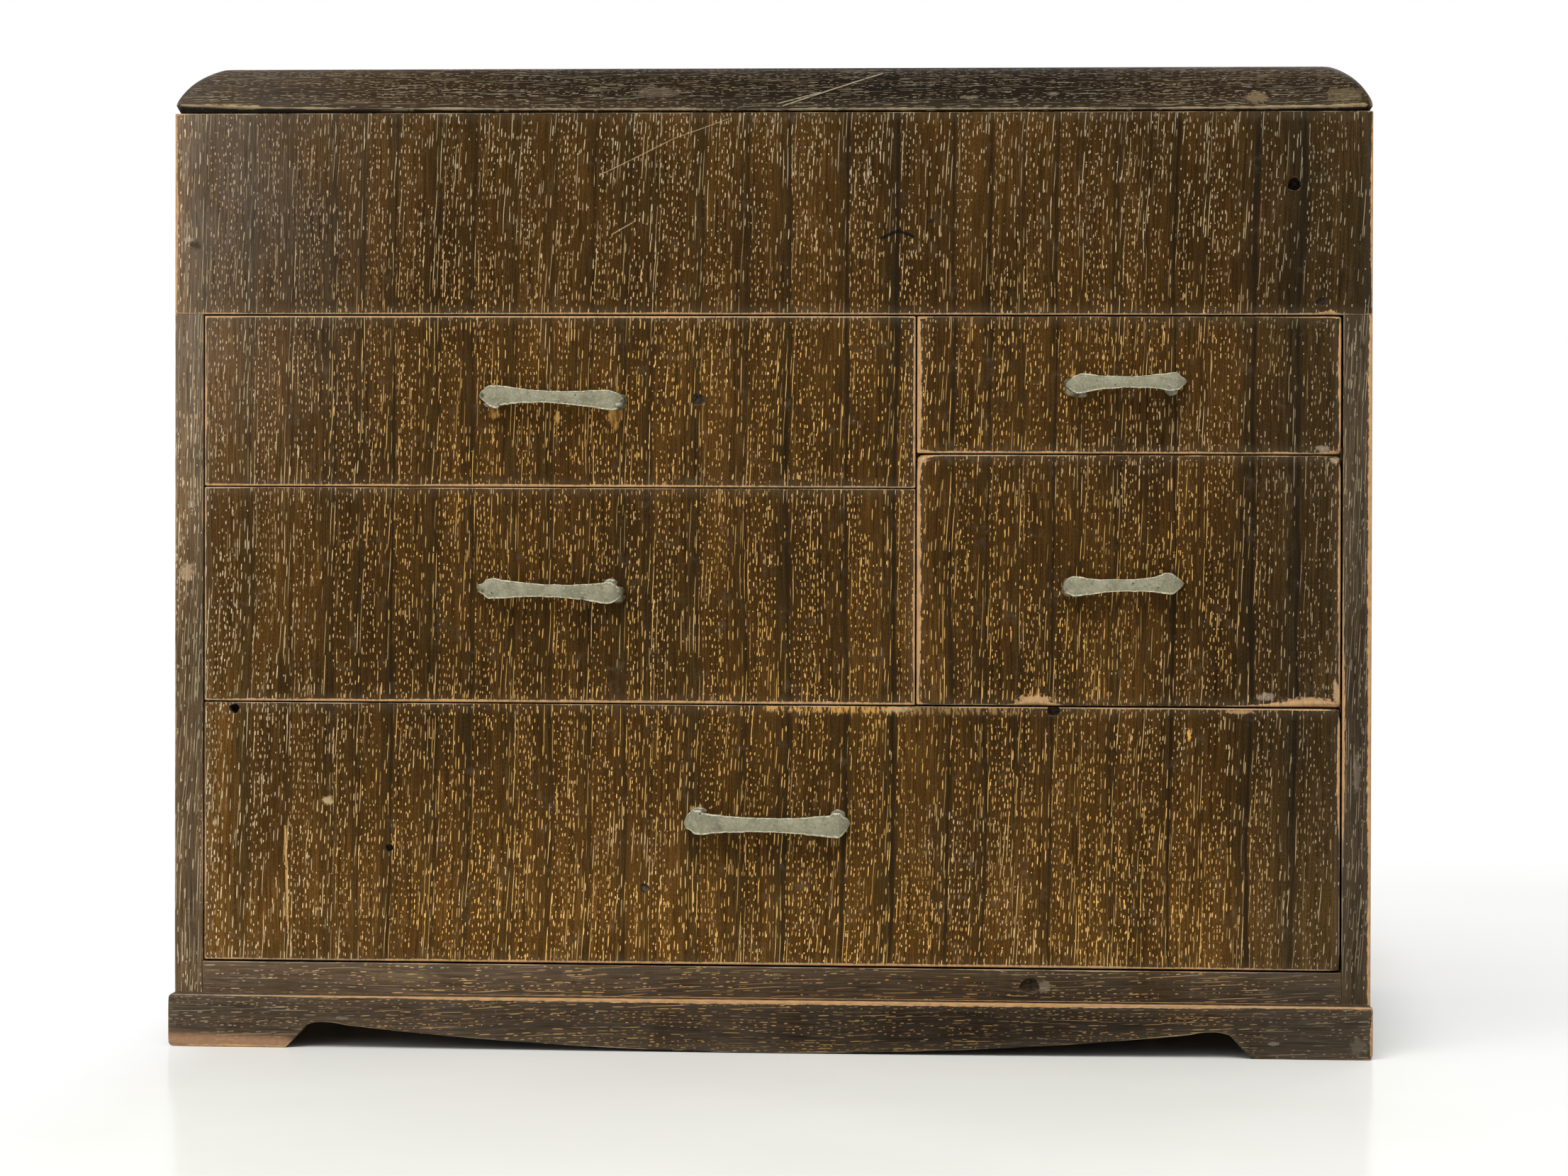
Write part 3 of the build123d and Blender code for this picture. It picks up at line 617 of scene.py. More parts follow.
def stained_wood(name, grain, seed, greyness=0.0, pore_chance=1.0, pore_grey=0.0, streaky=0.0,
                 tones=FRONT_TONES_AND_LIGHT, heights=HEIGHT_TONES_AND_LIGHT, sparse_end=0.30, marks=(),
                 bare=(BARE_DULL, BARE), flank=FLANK_TONE, front_only=FRONT_ONLY):
    """Open-grained hardwood under a dark stain, with pale filled pores, worn at its edges. Its brightness
    follows the tone tables, which hold the wood's own tone and painted light and shade. Reads three
    point attributes: edge_mm, the distance to the nearest edge; rub, how much an area is worn; and
    stain, how much glue or varnish has run there. A fourth marks painted shade, near black, under the
    lid's lower arris."""
    g = Graph(name)
    across, along, end = grain_places(g, grain)
    moved, cycle, line, tone = growth_lines(g, across, along, grain, seed)
    ground, fibre = stained_ground(g, moved, along, cycle, line, tone, seed)
    pores, level, (x, y, z), right_end = stained_pores(g, moved, along, cycle, line, grain, seed,
                                                       pore_chance, sparse_end, streaky)
    pore_colour = pore_paint(g, x, z, level, right_end, pore_grey, seed)

    near = g.fade(y - float(FRONT_Y), front_only[1], front_only[0])
    # the wood's tone with its painted light and shade from the tables, fading out behind the front; the pores
    # are lifted where it is dark
    tone_and_light = g.along_line(x, tones) * g.along_line(z, heights)
    tone_and_light = (tone_and_light - flank) * near + flank
    pore_lift = 0.34 / tone_and_light + 0.72
    pore_colour = g.tint(pore_colour, pore_lift)
    ground = g.mix(right_end * 0.7, ground, g.tint(ground, DULL_SHIFT))
    colour = g.mix(pores * 0.94, ground, pore_colour)
    colour = faded_grey(g, colour, x, z, pores, fibre, greyness, seed)
    colour = g.tint(colour, tone_and_light)
    if marks:
        colour = draw_marks(g, colour, x, z, g.fade(y - float(FRONT_Y), *MARKS_DEPTH), marks)

    # end grain shows as dull speckle
    speckle = g.even_noise(g.object_mm(), 2.2, 2.0)
    end_colour = g.mix(g.fade(speckle, 0.40, 0.66), *END_GRAIN)
    colour = g.mix(end, colour, end_colour)
    colour, worn, place = worn_edges(g, colour, moved, along, bare, seed)
    colour = glue_runs(g, colour, x, z, seed)
    # near-black painted shade under the lid's lower arris, where the undercut lies in shadow
    colour = g.mix(g.attribute("painted_undercut_shade"), colour, UNDERCUT_PAINTED_SHADE)

    # dry haze and dust on top of everything
    haze = g.even_noise(place, 0.5, 5.0, 0.7)
    dust = g.fade(haze, 0.54, 0.78) * g.math("MULTIPLY", tone_and_light, 0.12, clamp=True)
    colour = g.mix(dust, colour, DUST)

    relief = fibre * 0.5 - pores * 0.5
    normal = g.bump(relief, 0.05, 0.7)
    rough = g.math("ADD", fibre * 0.25, 0.42)
    rough = g.math("MAXIMUM", rough, worn * 0.8)
    return g.finish({"Base Color": colour, "Roughness": rough, "Normal": normal, "Specular IOR Level": 0.03})


def bare_wood(name, grain, colour_low, colour_high, seed):
    """Plain unstained wood inside the chest: soft growth bands, fine pores and a little dust."""
    g = Graph(name)
    across, along, end = grain_places(g, grain)
    wander = g.grain_noise(across, along, (0.05, 0.015), seed, 2.0)
    bands = g.noise(g.join(across * 0.35 + wander * 6.0, along * 0.012, seed), 2.0)
    colour = g.mix(g.fade(bands, 0.3, 0.7), colour_low, colour_high)
    fibre = g.grain_noise(across, along, (6.0, 0.2), seed + 2.0, 3.0, 0.6)
    colour = g.tint(colour, g.ramp(fibre, [(0.3, 0.72), (0.5, 1.0), (0.7, 1.2)]))
    chance = g.fade(g.grain_noise(across, along, (0.3, 0.1), seed + 4.0, 1.0), 0.25, 0.9)
    pores, _ = pore_layer(g, across, along, (0.9, 3.2), 0.07, 1.2, chance, seed + 6.0)
    colour = g.mix(pores * 0.6, colour, BARE_PORE)
    speckle = g.even_noise(g.object_mm(), 1.6, 3.0)
    colour = g.mix(end * 0.7, colour, g.mix(g.fade(speckle, 0.35, 0.65), BARE_END, colour_low))
    dirt = g.even_noise(g.object_mm(), 0.06, 4.0, 0.6)
    colour = g.mix(g.fade(dirt, 0.45, 0.75) * 0.45, colour, BARE_DIRT)
    normal = g.bump(fibre - pores, 0.04, 0.6)
    return g.finish({"Base Color": colour, "Roughness": fibre * 0.2 + 0.62, "Normal": normal,
                     "Specular IOR Level": 0.2})


def hole_wood():
    """The dark, dusty walls of worm holes."""
    g = Graph("worm_hole_wood")
    grit = g.even_noise(g.object_mm(), 3.0, 3.0)
    colour = g.mix(g.fade(grit, 0.35, 0.7), *HOLE)
    rough = grit * 0.2 + 0.75
    return g.finish({"Base Color": colour, "Roughness": rough, "Normal": g.bump(grit, 0.1, 0.6)})


# ---- Metals and glue ----------------------------------------------------------------------------

def cast_metal():
    """Dull grey-green cast metal: chalky and pitted, with a painted highlight along the bar's edges, and dirt
    with painted shade where the handle's mesh marks it.
    """
    g = Graph("cast_handle_metal")
    place = g.object_mm()
    cloud = g.even_noise(place, 0.55, 5.0, 0.7)
    fine = g.even_noise(place, 3.5, 4.0, 0.7)
    colour = g.mix(g.fade(cloud, 0.3, 0.7), *METAL)
    smudge = g.even_noise(place, 0.95, 3.0, 0.6)
    colour = g.mix(g.fade(smudge, 0.56, 0.70) * 0.6, colour, METAL_SMUDGE)
    colour = g.mix(g.fade(fine, 0.48, 0.68) * 0.6, colour, METAL_CHALK)
    # a painted highlight along the bar's edges, broken by noise
    rim_highlight = g.fade(g.attribute("rim_highlight"), 0.15, 0.7)
    broken = g.fade(fine, 0.36, 0.56) * (g.fade(smudge, 0.62, 0.42) * 0.6 + 0.4)
    colour = g.mix(rim_highlight * broken, colour, METAL_RIM_HIGHLIGHT)
    pit_cells = g.node("ShaderNodeTexVoronoi", {"Vector": g.scale(place, 0.95), "Scale": 1.0},
                       voronoi_dimensions="3D")
    kept = g.math("LESS_THAN", g.split(pit_cells.outputs["Color"])[0], 0.36)
    pits = g.fade(pit_cells.outputs["Distance"], 0.17, 0.06) * kept
    colour = g.mix(pits * 0.85, colour, METAL_PIT)
    # dirt and painted shade on the flanks towards the wood, in the groove and in the dents
    grime_and_shade = g.fade(g.attribute("grime_and_shade"), 0.2, 0.9)
    colour = g.mix(grime_and_shade * g.fade(cloud, 0.25, 0.6), colour, METAL_GRIME_AND_SHADE)
    height = fine * 0.6 - pits
    return g.finish({
        "Base Color": colour,
        "Metallic": 0.1,
        "Specular IOR Level": 0.25,
        "Roughness": fine * 0.25 + 0.45,
        "Normal": g.bump(height, 0.07, 0.8),
    })


def clouded(name, frequency, blend, colours, rough, relief, others):
    """Two colours in soft clouds. rough is the share that follows the clouds and the least roughness."""
    g = Graph(name)
    cloud = g.even_noise(g.object_mm(), frequency, 4.0, 0.6)
    inputs = {"Base Color": g.mix(g.fade(cloud, *blend), *colours), "Roughness": cloud * rough[0] + rough[1],
              "Normal": g.bump(cloud, *relief)}
    return g.finish({**inputs, **others})


def old_brass():
    """Tarnished brass of the hinges."""
    g = Graph("old_brass")
    place = g.object_mm()
    cloud = g.even_noise(place, 0.5, 4.0, 0.6)
    fine = g.even_noise(place, 4.0, 3.0, 0.6)
    colour = g.mix(g.fade(cloud, 0.35, 0.68), *BRASS)
    colour = g.mix(g.fade(fine, 0.55, 0.75) * 0.5, colour, BRASS_STAIN)
    return g.finish({
        "Base Color": colour,
        "Metallic": 0.9,
        "Roughness": cloud * 0.35 + 0.25,
        "Normal": g.bump(fine, 0.03, 0.6),
    })


# ---- Board meshes -------------------------------------------------------------------------------

EDGE_STEPS = (0, 0.05, 0.11, 0.18, 0.27, 0.38, 0.52, 0.7, 0.95, 1.3)


def grid_stops(length, step, dense=()):
    """Grid lines along one edge of a board, close together near both ends and at the dense spans,
    which are (low, high, step) from the edge's start."""
    near = [s for s in EDGE_STEPS if s < length / 2 - 0.02]
    start = near[-1]
    count = max(1, math.ceil((length - 2 * start) / step))
    inner = list(np.linspace(start, length - start, count + 1))
    stops = near[:-1] + inner + [length - s for s in reversed(near[:-1])]
    for low, high, fine in dense:
        stops = [s for s in stops if not low - fine / 2 < s < high + fine / 2]
        stops += list(np.arange(low, high + fine / 2, fine))
    return np.array(sorted(stops))


def surface_grid(stops):
    """(points, quads) of a closed box surface whose grid lines are the three lists in stops."""
    counts = np.array([len(s) for s in stops])
    keys, quads = [], []
    for axis in range(3):
        a, b = (axis + 1) % 3, (axis + 2) % 3
        i, j = np.meshgrid(np.arange(counts[a]), np.arange(counts[b]), indexing="ij")
        for side in (0, counts[axis] - 1):
            index = np.zeros((*i.shape, 3), int)
            index[..., a], index[..., b], index[..., axis] = i, j, side
            key = (index[..., 0] * counts[1] + index[..., 1]) * counts[2] + index[..., 2]
            corners = [key[:-1, :-1], key[1:, :-1], key[1:, 1:], key[:-1, 1:]]
            if side == 0:
                corners.reverse()
            quads.append(np.stack([c.ravel() for c in corners], 1))
            keys.append(key.ravel())
    used = np.unique(np.concatenate(keys))
    k = used % counts[2]
    j = (used // counts[2]) % counts[1]
    i = used // (counts[1] * counts[2])
    points = np.stack([stops[0][i], stops[1][j], stops[2][k]], 1)
    flat = np.concatenate(quads)
    faces = np.searchsorted(used, flat)
    return points, faces


def ripple(points, scale, seed):
    """Smooth random values from -1 to 1 at points, scale apart. A hash of the cell gives the values, so
    that they are the same in each run."""
    p = points / scale + seed * 17.13
    cell = np.floor(p).astype(int)
    part = p - cell
    part = part * part * (3 - 2 * part)
    total = np.zeros(len(points))
    for corner in np.ndindex(2, 2, 2):
        c = cell + corner
        mixed = c[:, 0] * 73856093 ^ c[:, 1] * 19349663 ^ c[:, 2] * 83492791
        value = ((mixed * 2654435761 & 0xFFFFFFFF) >> 8) / 0xFFFFFF * 2 - 1
        weight = 1.0
        for axis, far in enumerate(corner):
            weight = weight * (part[:, axis] if far else 1 - part[:, axis])
        total += value * weight
    return total


def spot_sum(points, spots):
    """The sum of soft spots at points. Each spot is (x, z, radius x, radius z, amount), near the front."""
    total = np.zeros(len(points))
    for x, z, rx, rz, amount in spots:
        reach = ((points[:, 0] - x) / rx) ** 2 + ((points[:, 2] - z) / rz) ** 2
        near = np.clip(1 - (points[:, 1] - FRONT_Y) / 2.5, 0, 1)
        total += amount * np.exp(-reach) * near
    return total


def rounded(points, low, high, radius):
    """Points of a box surface pulled in so that its edges are rounded, by a radius for each point."""
    half = (high - low) / 2
    local = points - (low + high) / 2
    r = np.minimum(radius, half.min() * 0.95)[:, None]
    inner = np.clip(local, -(half - r), half - r)
    out = local - inner
    size = np.linalg.norm(out, axis=1, keepdims=True)
    size[size == 0] = 1
    return inner + out / size * r + (low + high) / 2


def edge_distance(points, low, high):
    """Each point's distance to the nearest edge of the box."""
    gaps = np.minimum(points - low, high - points)
    return np.sort(gaps, axis=1)[:, 1]


def set_attribute(mesh, name, values):
    layer = mesh.attributes.new(name, "FLOAT", "POINT")
    layer.data.foreach_set("value", np.asarray(values, dtype=np.float32))


def mesh_points(mesh):
    flat = np.empty(len(mesh.vertices) * 3, dtype=np.float32)
    mesh.vertices.foreach_get("co", flat)
    return flat.reshape(-1, 3).astype(float)


def new_object(name, points_mm, faces):
    mesh = bpy.data.meshes.new(name)
    mesh.from_pydata((points_mm * MM).tolist(), [], faces.tolist() if hasattr(faces, "tolist") else faces)
    mesh.update()
    piece = bpy.data.objects.new(name, mesh)
    bpy.context.scene.collection.objects.link(piece)
    return piece


def apply_cutters(piece, cutters):
    """Cuts the cutter objects out of the piece, and removes them."""
    for cutter in cutters:
        modifier = piece.modifiers.new("cut", "BOOLEAN")
        modifier.operation = "DIFFERENCE"
        modifier.solver = "EXACT"
        modifier.object = cutter
    graph = bpy.context.evaluated_depsgraph_get()
    cut = bpy.data.meshes.new_from_object(piece.evaluated_get(graph))
    old = piece.data
    piece.modifiers.clear()
    piece.data = cut
    bpy.data.meshes.remove(old)
    for cutter in cutters:
        shape = cutter.data
        bpy.data.objects.remove(cutter)
        bpy.data.meshes.remove(shape)


def bore_cutter(x, z, radius, depth, seed, stretch=1.0, y=None):
    """A slightly uneven worm hole bored from the front at x and z."""
    sides = 20
    face_y = FRONT_Y if y is None else y
    rings = ((-0.6, 1.0), (0.02, 1.06), (0.3, 0.97), (depth * 0.75, 0.9), (depth, 0.5))
    points = []
    for ring, (into, scale) in enumerate(rings):
        for n in range(sides):
            turn = 2 * math.pi * n / sides
            wave = 1 + 0.07 * math.sin(3 * turn + seed) + 0.05 * math.sin(5 * turn + 2 * seed + ring)
            points.append((
                x + radius * scale * wave * stretch * math.cos(turn),
                face_y + into,
                z + radius * scale * wave * math.sin(turn),
            ))
    faces = [tuple(range(sides))]
    for ring in range(len(rings) - 1):
        for n in range(sides):
            a, b = ring * sides + n, ring * sides + (n + 1) % sides
            faces.append((b, a, a + sides, b + sides))
    last = (len(rings) - 1) * sides
    faces.append(tuple(last + n for n in reversed(range(sides))))
    cutter = new_object("cutter", np.array(points), faces)
    tidy_normals(cutter)
    return cutter


def box_cutter(low, high):
    corners = [(x, y, z) for x in (low[0], high[0]) for y in (low[1], high[1]) for z in (low[2], high[2])]
    faces = [(0, 1, 3, 2), (4, 6, 7, 5), (0, 4, 5, 1), (2, 3, 7, 6), (0, 2, 6, 4), (1, 5, 7, 3)]
    cutter = new_object("cutter", np.array(corners), faces)
    tidy_normals(cutter)
    return cutter


def tidy_normals(piece):
    shape = bmesh.new()
    shape.from_mesh(piece.data)
    bmesh.ops.recalc_face_normals(shape, faces=shape.faces)
    shape.to_mesh(piece.data)
    shape.free()


def smooth(piece, angle=40):
    piece.data.shade_smooth()
    piece.data.set_sharp_from_angle(angle=math.radians(angle))


def claim(piece, body, node):
    """The piece rides on a body and stands in for a CAD node, which is hidden."""
    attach(piece, body)
    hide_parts(node)


class Wear:
    """Where one board is chipped, rubbed, stained and bored. Places are (x, z) on the front."""

    def __init__(self, radius=0.22, chips=(), rubs=(), stains=(), holes=()):
        self.radius = radius
        self.chips = chips      # (x, z, radius x, radius z, extra rounding)
        self.rubs = rubs        # (x, z, radius x, radius z, amount)
        self.stains = stains    # (x, z, radius x, radius z, amount)
        self.holes = holes      # (x, z, radius, depth, stretch)


def finish_board(piece, low, high, wear, material, edge=None):
    """Gives a board its attributes, its two materials and smooth shading."""
    mesh = piece.data
    points = mesh_points(mesh) / MM
    distance = edge_distance(points, low, high) if edge is None else edge(points)
    set_attribute(mesh, "edge_mm", np.clip(distance, 0, 5))
    set_attribute(mesh, "rub", np.clip(spot_sum(points, wear.rubs), 0, 2))
    set_attribute(mesh, "stain", np.clip(spot_sum(points, wear.stains), 0, 1))
    mesh.materials.clear()
    mesh.materials.append(material)
    if wear.holes:
        mesh.materials.append(HOLE_WOOD)
        for face in mesh.polygons:
            centre = np.array(face.center) / MM
            for x, z, radius, depth, stretch in wear.holes:
                deep = centre[1] - low[1] > 0.04
                inside = math.hypot((centre[0] - x) / stretch, centre[2] - z) < radius * 1.12
                if deep and inside and centre[1] < low[1] + depth + 0.1:
                    face.material_index = 1
    smooth(piece)


def board(name, body, material, wear, step=0.8, seed=1.0, cuts=(), wider=0.0):
    """A worn board in place of a CAD node: rounded uneven edges, chips, holes and notches."""
    low, high = box_mm(name)
    high[0] += wider
    stops = [low[a] + grid_stops(high[a] - low[a], step) for a in range(3)]
    points, faces = surface_grid(stops)
    uneven = 1 + 0.35 * ripple(points, 2.3, seed) + 0.25 * ripple(points, 0.9, seed + 2)
    radius = wear.radius * np.clip(uneven, 0.3, 2) + spot_sum(points, wear.chips)
    points = rounded(points, low, high, np.maximum(radius, 0.03))
    piece = new_object("wood_" + name, points, faces)
    cutters = [box_cutter(*cut) for cut in cuts]
    for n, (x, z, r, depth, stretch) in enumerate(wear.holes):
        cutters.append(bore_cutter(x, z, r, depth, seed + n, stretch, y=low[1]))
    if cutters:
        apply_cutters(piece, cutters)
    finish_board(piece, low, high, wear, material)
    claim(piece, body, name)


# ---- Lid ----------------------------------------------------------------------------------------

LID_ARRIS_HEIGHT = 0.65      # the widest line of the edge, above the underside
LID_UNDERCUT = 0.5
LID_EDGE_WIDTH = 5.2         # plan width of the rounded upper edge
LID_EDGE_MIDDLE = (1.75, 2.15)   # a point on it: in from the widest line, and below the top
LID_CORNER = 1.6             # rounding of the front corners in plan
# how much higher the lower arris has worn, along the lid: (x, millimetres)
LID_ARRIS_LIFT = ((-76, 0.36), (-66, 0.0), (-56, -0.16), (-30, -0.32), (0, -0.40), (45, -0.40), (60, -0.33),
                  (70, -0.2), (76, -0.02))


def circle_through(a, b, c):
    """(centre x, centre y, radius) of the circle through three points."""
    (ax, ay), (bx, by), (cx, cy) = a, b, c
    d = 2 * (ax * (by - cy) + bx * (cy - ay) + cx * (ay - by))
    sa, sb, sc = ax * ax + ay * ay, bx * bx + by * by, cx * cx + cy * cy
    ux = (sa * (by - cy) + sb * (cy - ay) + sc * (ay - by)) / d
    uy = (sa * (cx - bx) + sb * (ax - cx) + sc * (bx - ax)) / d
    return ux, uy, math.hypot(ax - ux, ay - uy)


def arris_lift(x):
    """How far the lid's worn lower arris is above its usual height, along the lid."""
    return np.interp(x, *np.array(LID_ARRIS_LIFT).T)


def lid_profile(height):
    """(heights, insets) of the worked edge from the underside to the top."""
    start = (0.0, LID_ARRIS_HEIGHT)
    middle = (LID_EDGE_MIDDLE[0], height - LID_EDGE_MIDDLE[1])
    end = (LID_EDGE_WIDTH, height)
    cx, cy, radius = circle_through(start, middle, end)
    first = math.atan2(start[1] - cy, start[0] - cx)
    last = math.atan2(end[1] - cy, end[0] - cx)
    first = first if first > 0 else first + 2 * math.pi
    turns = np.linspace(first, last, 26)
    arc_in = cx + radius * np.cos(turns)
    arc_z = cy + radius * np.sin(turns)
    under_z = np.array([0, 0.08, 0.2, 0.35, 0.5])
    under_in = LID_UNDERCUT * (1 - under_z / LID_ARRIS_HEIGHT)
    return np.concatenate([under_z, arc_z]), np.concatenate([under_in, arc_in])


def lid_shape(points, low, high, heights, insets):
    """The box's points drawn in to the worked edge, with the two front corners rounded in plan."""
    inset = np.interp(points[:, 2] - low[2], heights, insets)
    x_share = (points[:, 0] - low[0]) / (high[0] - low[0]) * 2 - 1
    y_share = (high[1] - points[:, 1]) / (high[1] - low[1])
    half = (high[0] - low[0]) / 2 - inset
    depth = high[1] - low[1] - inset
    x, y = x_share * half, y_share * depth        # y counts forwards from the back edge here
    reach_x = np.maximum(np.abs(x) - (half - LID_CORNER), 0)
    reach_y = np.maximum(y - (depth - LID_CORNER), 0)
    far = np.hypot(reach_x, reach_y)
    shrink = np.where(far > 0, np.maximum(reach_x, reach_y) / np.where(far > 0, far, 1), 1)
    x = np.sign(x) * (np.abs(x) - reach_x + reach_x * shrink)
    y = y - reach_y + reach_y * shrink
    return np.stack([x + (low[0] + high[0]) / 2, high[1] - y, points[:, 2]], 1)


def wear_lid(points, low, high):
    """Moves the lid's points in place: its curve is hand-sanded and slightly uneven, its arrises are
    rounded, and the lower arris is worn higher up towards the left end."""
    curve = np.clip((points[:, 2] - low[2] - 1.2) / 1.5, 0, 1)
    curve = curve * np.clip((high[2] - points[:, 2]) / 1.0, 0, 1)
    points[:, 2] -= 0.10 * curve * (0.5 + 0.5 * ripple(points * (1, 1, 0.2), 7.0, 4.0))
    worn = 0.08 + 0.07 * ripple(points * (1, 1, 0), 3.0, 8.0)
    arris = np.exp(-((points[:, 2] - low[2] - LID_ARRIS_HEIGHT) / 0.3) ** 2) * worn
    middle = np.array([(low[0] + high[0]) / 2, (low[1] + high[1]) / 2])
    outward = points[:, :2] - middle
    side = np.abs(np.abs(outward[:, 0]) - (high[0] - low[0]) / 2) < 1.2
    front = np.abs(points[:, 1] - low[1]) < 1.2
    points[:, 0] -= np.sign(outward[:, 0]) * arris * side
    points[:, 1] += arris * front
    lift = arris_lift(points[:, 0])
    up = points[:, 2] - low[2]
    moved_up = np.where(up < LID_ARRIS_HEIGHT, up * (1 + lift / LID_ARRIS_HEIGHT),
                        LID_ARRIS_HEIGHT + lift + (up - LID_ARRIS_HEIGHT)
                        * (1 - lift / (high[2] - low[2] - LID_ARRIS_HEIGHT)))
    points[:, 2] = low[2] + moved_up


def lid():
    low, high = box_mm("lid_board")
    heights, insets = lid_profile(high[2] - low[2])
    stops = [low[a] + grid_stops(high[a] - low[a], 1.0) for a in (0, 1)] + [low[2] + heights]
    points, faces = surface_grid(stops)
    points = lid_shape(points, low, high, heights, insets)
    wear_lid(points, low, high)
    piece = new_object("wood_lid_board", points, faces)

    def edge(p):
        outside = np.minimum(high[0] - np.abs(p[:, 0]), p[:, 1] - low[1])
        line = LID_ARRIS_HEIGHT + arris_lift(p[:, 0])
        lower = np.hypot((p[:, 2] - low[2] - line) * 0.8, np.clip(outside - 0.2, 0, 9))
        back = np.hypot(high[1] - p[:, 1], high[2] - p[:, 2])
        return np.minimum(lower + 0.05, back)

    finish_board(piece, low, high, Wear(rubs=LID_RUBS), STAINED_LID, edge)
    places = mesh_points(piece.data) / MM
    # near-black painted shade on the undercut below the lower arris, close to the lid's outer edges
    line = LID_ARRIS_HEIGHT + arris_lift(places[:, 0])
    under = np.clip((line - 0.12 - (places[:, 2] - low[2])) / 0.15, 0, 1)
    rim_only = np.minimum(high[0] - np.abs(places[:, 0]), places[:, 1] - low[1]) < 3
    set_attribute(piece.data, "painted_undercut_shade", under * rim_only * 0.9)
    claim(piece, "lid", "lid_board")


LID_RUBS = (
    (62, 118.0, 10, 1.0, 0.5),
    (-68, 118.4, 9, 1.0, 0.45),
    (74, 118.2, 2.5, 1.0, 0.7),
    (-25, 117.9, 22, 0.5, 0.3),
    (25, 117.7, 20, 0.5, 0.25),
)


# ---- Apron --------------------------------------------------------------------------------------

APRON_LINE = (
    # distance from the middle and height of the lower edge, from the belly's end outwards
    (52.8, 2.9), (53.6, 3.10), (54.6, 3.22), (55.6, 3.26), (56.4, 3.21), (57.1, 3.07), (57.6, 2.9),
    (58.5, 1.93), (60.3, 0.0),
)
APRON_BELLY_CLEAR = 0.1


def apron_bottom(x):
    """Height of the apron's lower edge at each x."""
    side = np.abs(x)
    end, rise = APRON_LINE[0]
    belly = APRON_BELLY_CLEAR + (rise - APRON_BELLY_CLEAR) * (side / end) ** 2
    places, heights = zip(*APRON_LINE)
    return np.where(side < end, belly, np.interp(side, places, heights))


def apron():
    low, high = box_mm("apron")
    spans = [(52.4, 57.5, 0.3), (57.6, 60.3, 0.3)]
    dense = [(a - low[0], b - low[0], s) for a, b, s in spans]
    dense += [(-b - low[0], -a - low[0], s) for a, b, s in spans]
    stops = [
        low[0] + grid_stops(high[0] - low[0], 0.9, dense),
        low[1] + grid_stops(high[1] - low[1], 0.6),
        low[2] + grid_stops(high[2] - low[2], 0.6),
    ]
    points, faces = surface_grid(stops)
    wear = Wear(0.16, APRON_CHIPS, APRON_RUBS)
    uneven = 1 + 0.5 * ripple(points, 2.6, 11.0) + 0.35 * ripple(points, 1.0, 12.0)
    radius = wear.radius * np.clip(uneven, 0.3, 2.5) + spot_sum(points, wear.chips)
    points = rounded(points, low, high, np.maximum(radius, 0.03))
    bottom = apron_bottom(points[:, 0])
    share = (points[:, 2] - low[2]) / (high[2] - low[2])
    points[:, 2] = low[2] + bottom + share * (high[2] - low[2] - bottom)
    piece = new_object("wood_apron", points, faces)

    def edge(p):
        up = np.minimum(p[:, 2] - low[2] - apron_bottom(p[:, 0]), high[2] - p[:, 2])
        gaps = np.stack([up, high[0] - np.abs(p[:, 0]), np.minimum(p[:, 1] - low[1], high[1] - p[:, 1])], 1)
        return np.sort(gaps, axis=1)[:, 1]

    finish_board(piece, low, high, wear, STAINED_APRON, edge)
    claim(piece, "case", "apron")


APRON_CHIPS = (
    (-75.2, 0.0, 2.0, 0.8, 0.4),
    (75.2, 1.0, 1.2, 2.0, 0.5),
    (-75.2, 6.5, 1.0, 1.0, 0.35),
    (75.2, 6.5, 1.5, 0.8, 0.3),
    (60.3, 0.0, 1.0, 1.0, 0.25),
)
APRON_RUBS = (
    (-67, 0.2, 8, 0.8, 0.9),
    (-75.2, 3, 0.8, 4, 0.1),
    (75.2, 2, 0.9, 3, 1.0),
    (12, 6.75, 55, 0.75, 2.4),
)


# ---- Handles ------------------------------------------------------------------------------------

HANDLE_STAND_OFF = 2.5       # the bar's face above the wood
HANDLE_THICK = 1.0
HANDLE_BEND = 2.2            # length over which each end curves down to the wood
HANDLE_HEEL = 1.0            # height of the face at its very ends
HANDLE_STEP = 0.15           # between the bar's cross sections
HANDLE_INTO_WOOD = 0.15

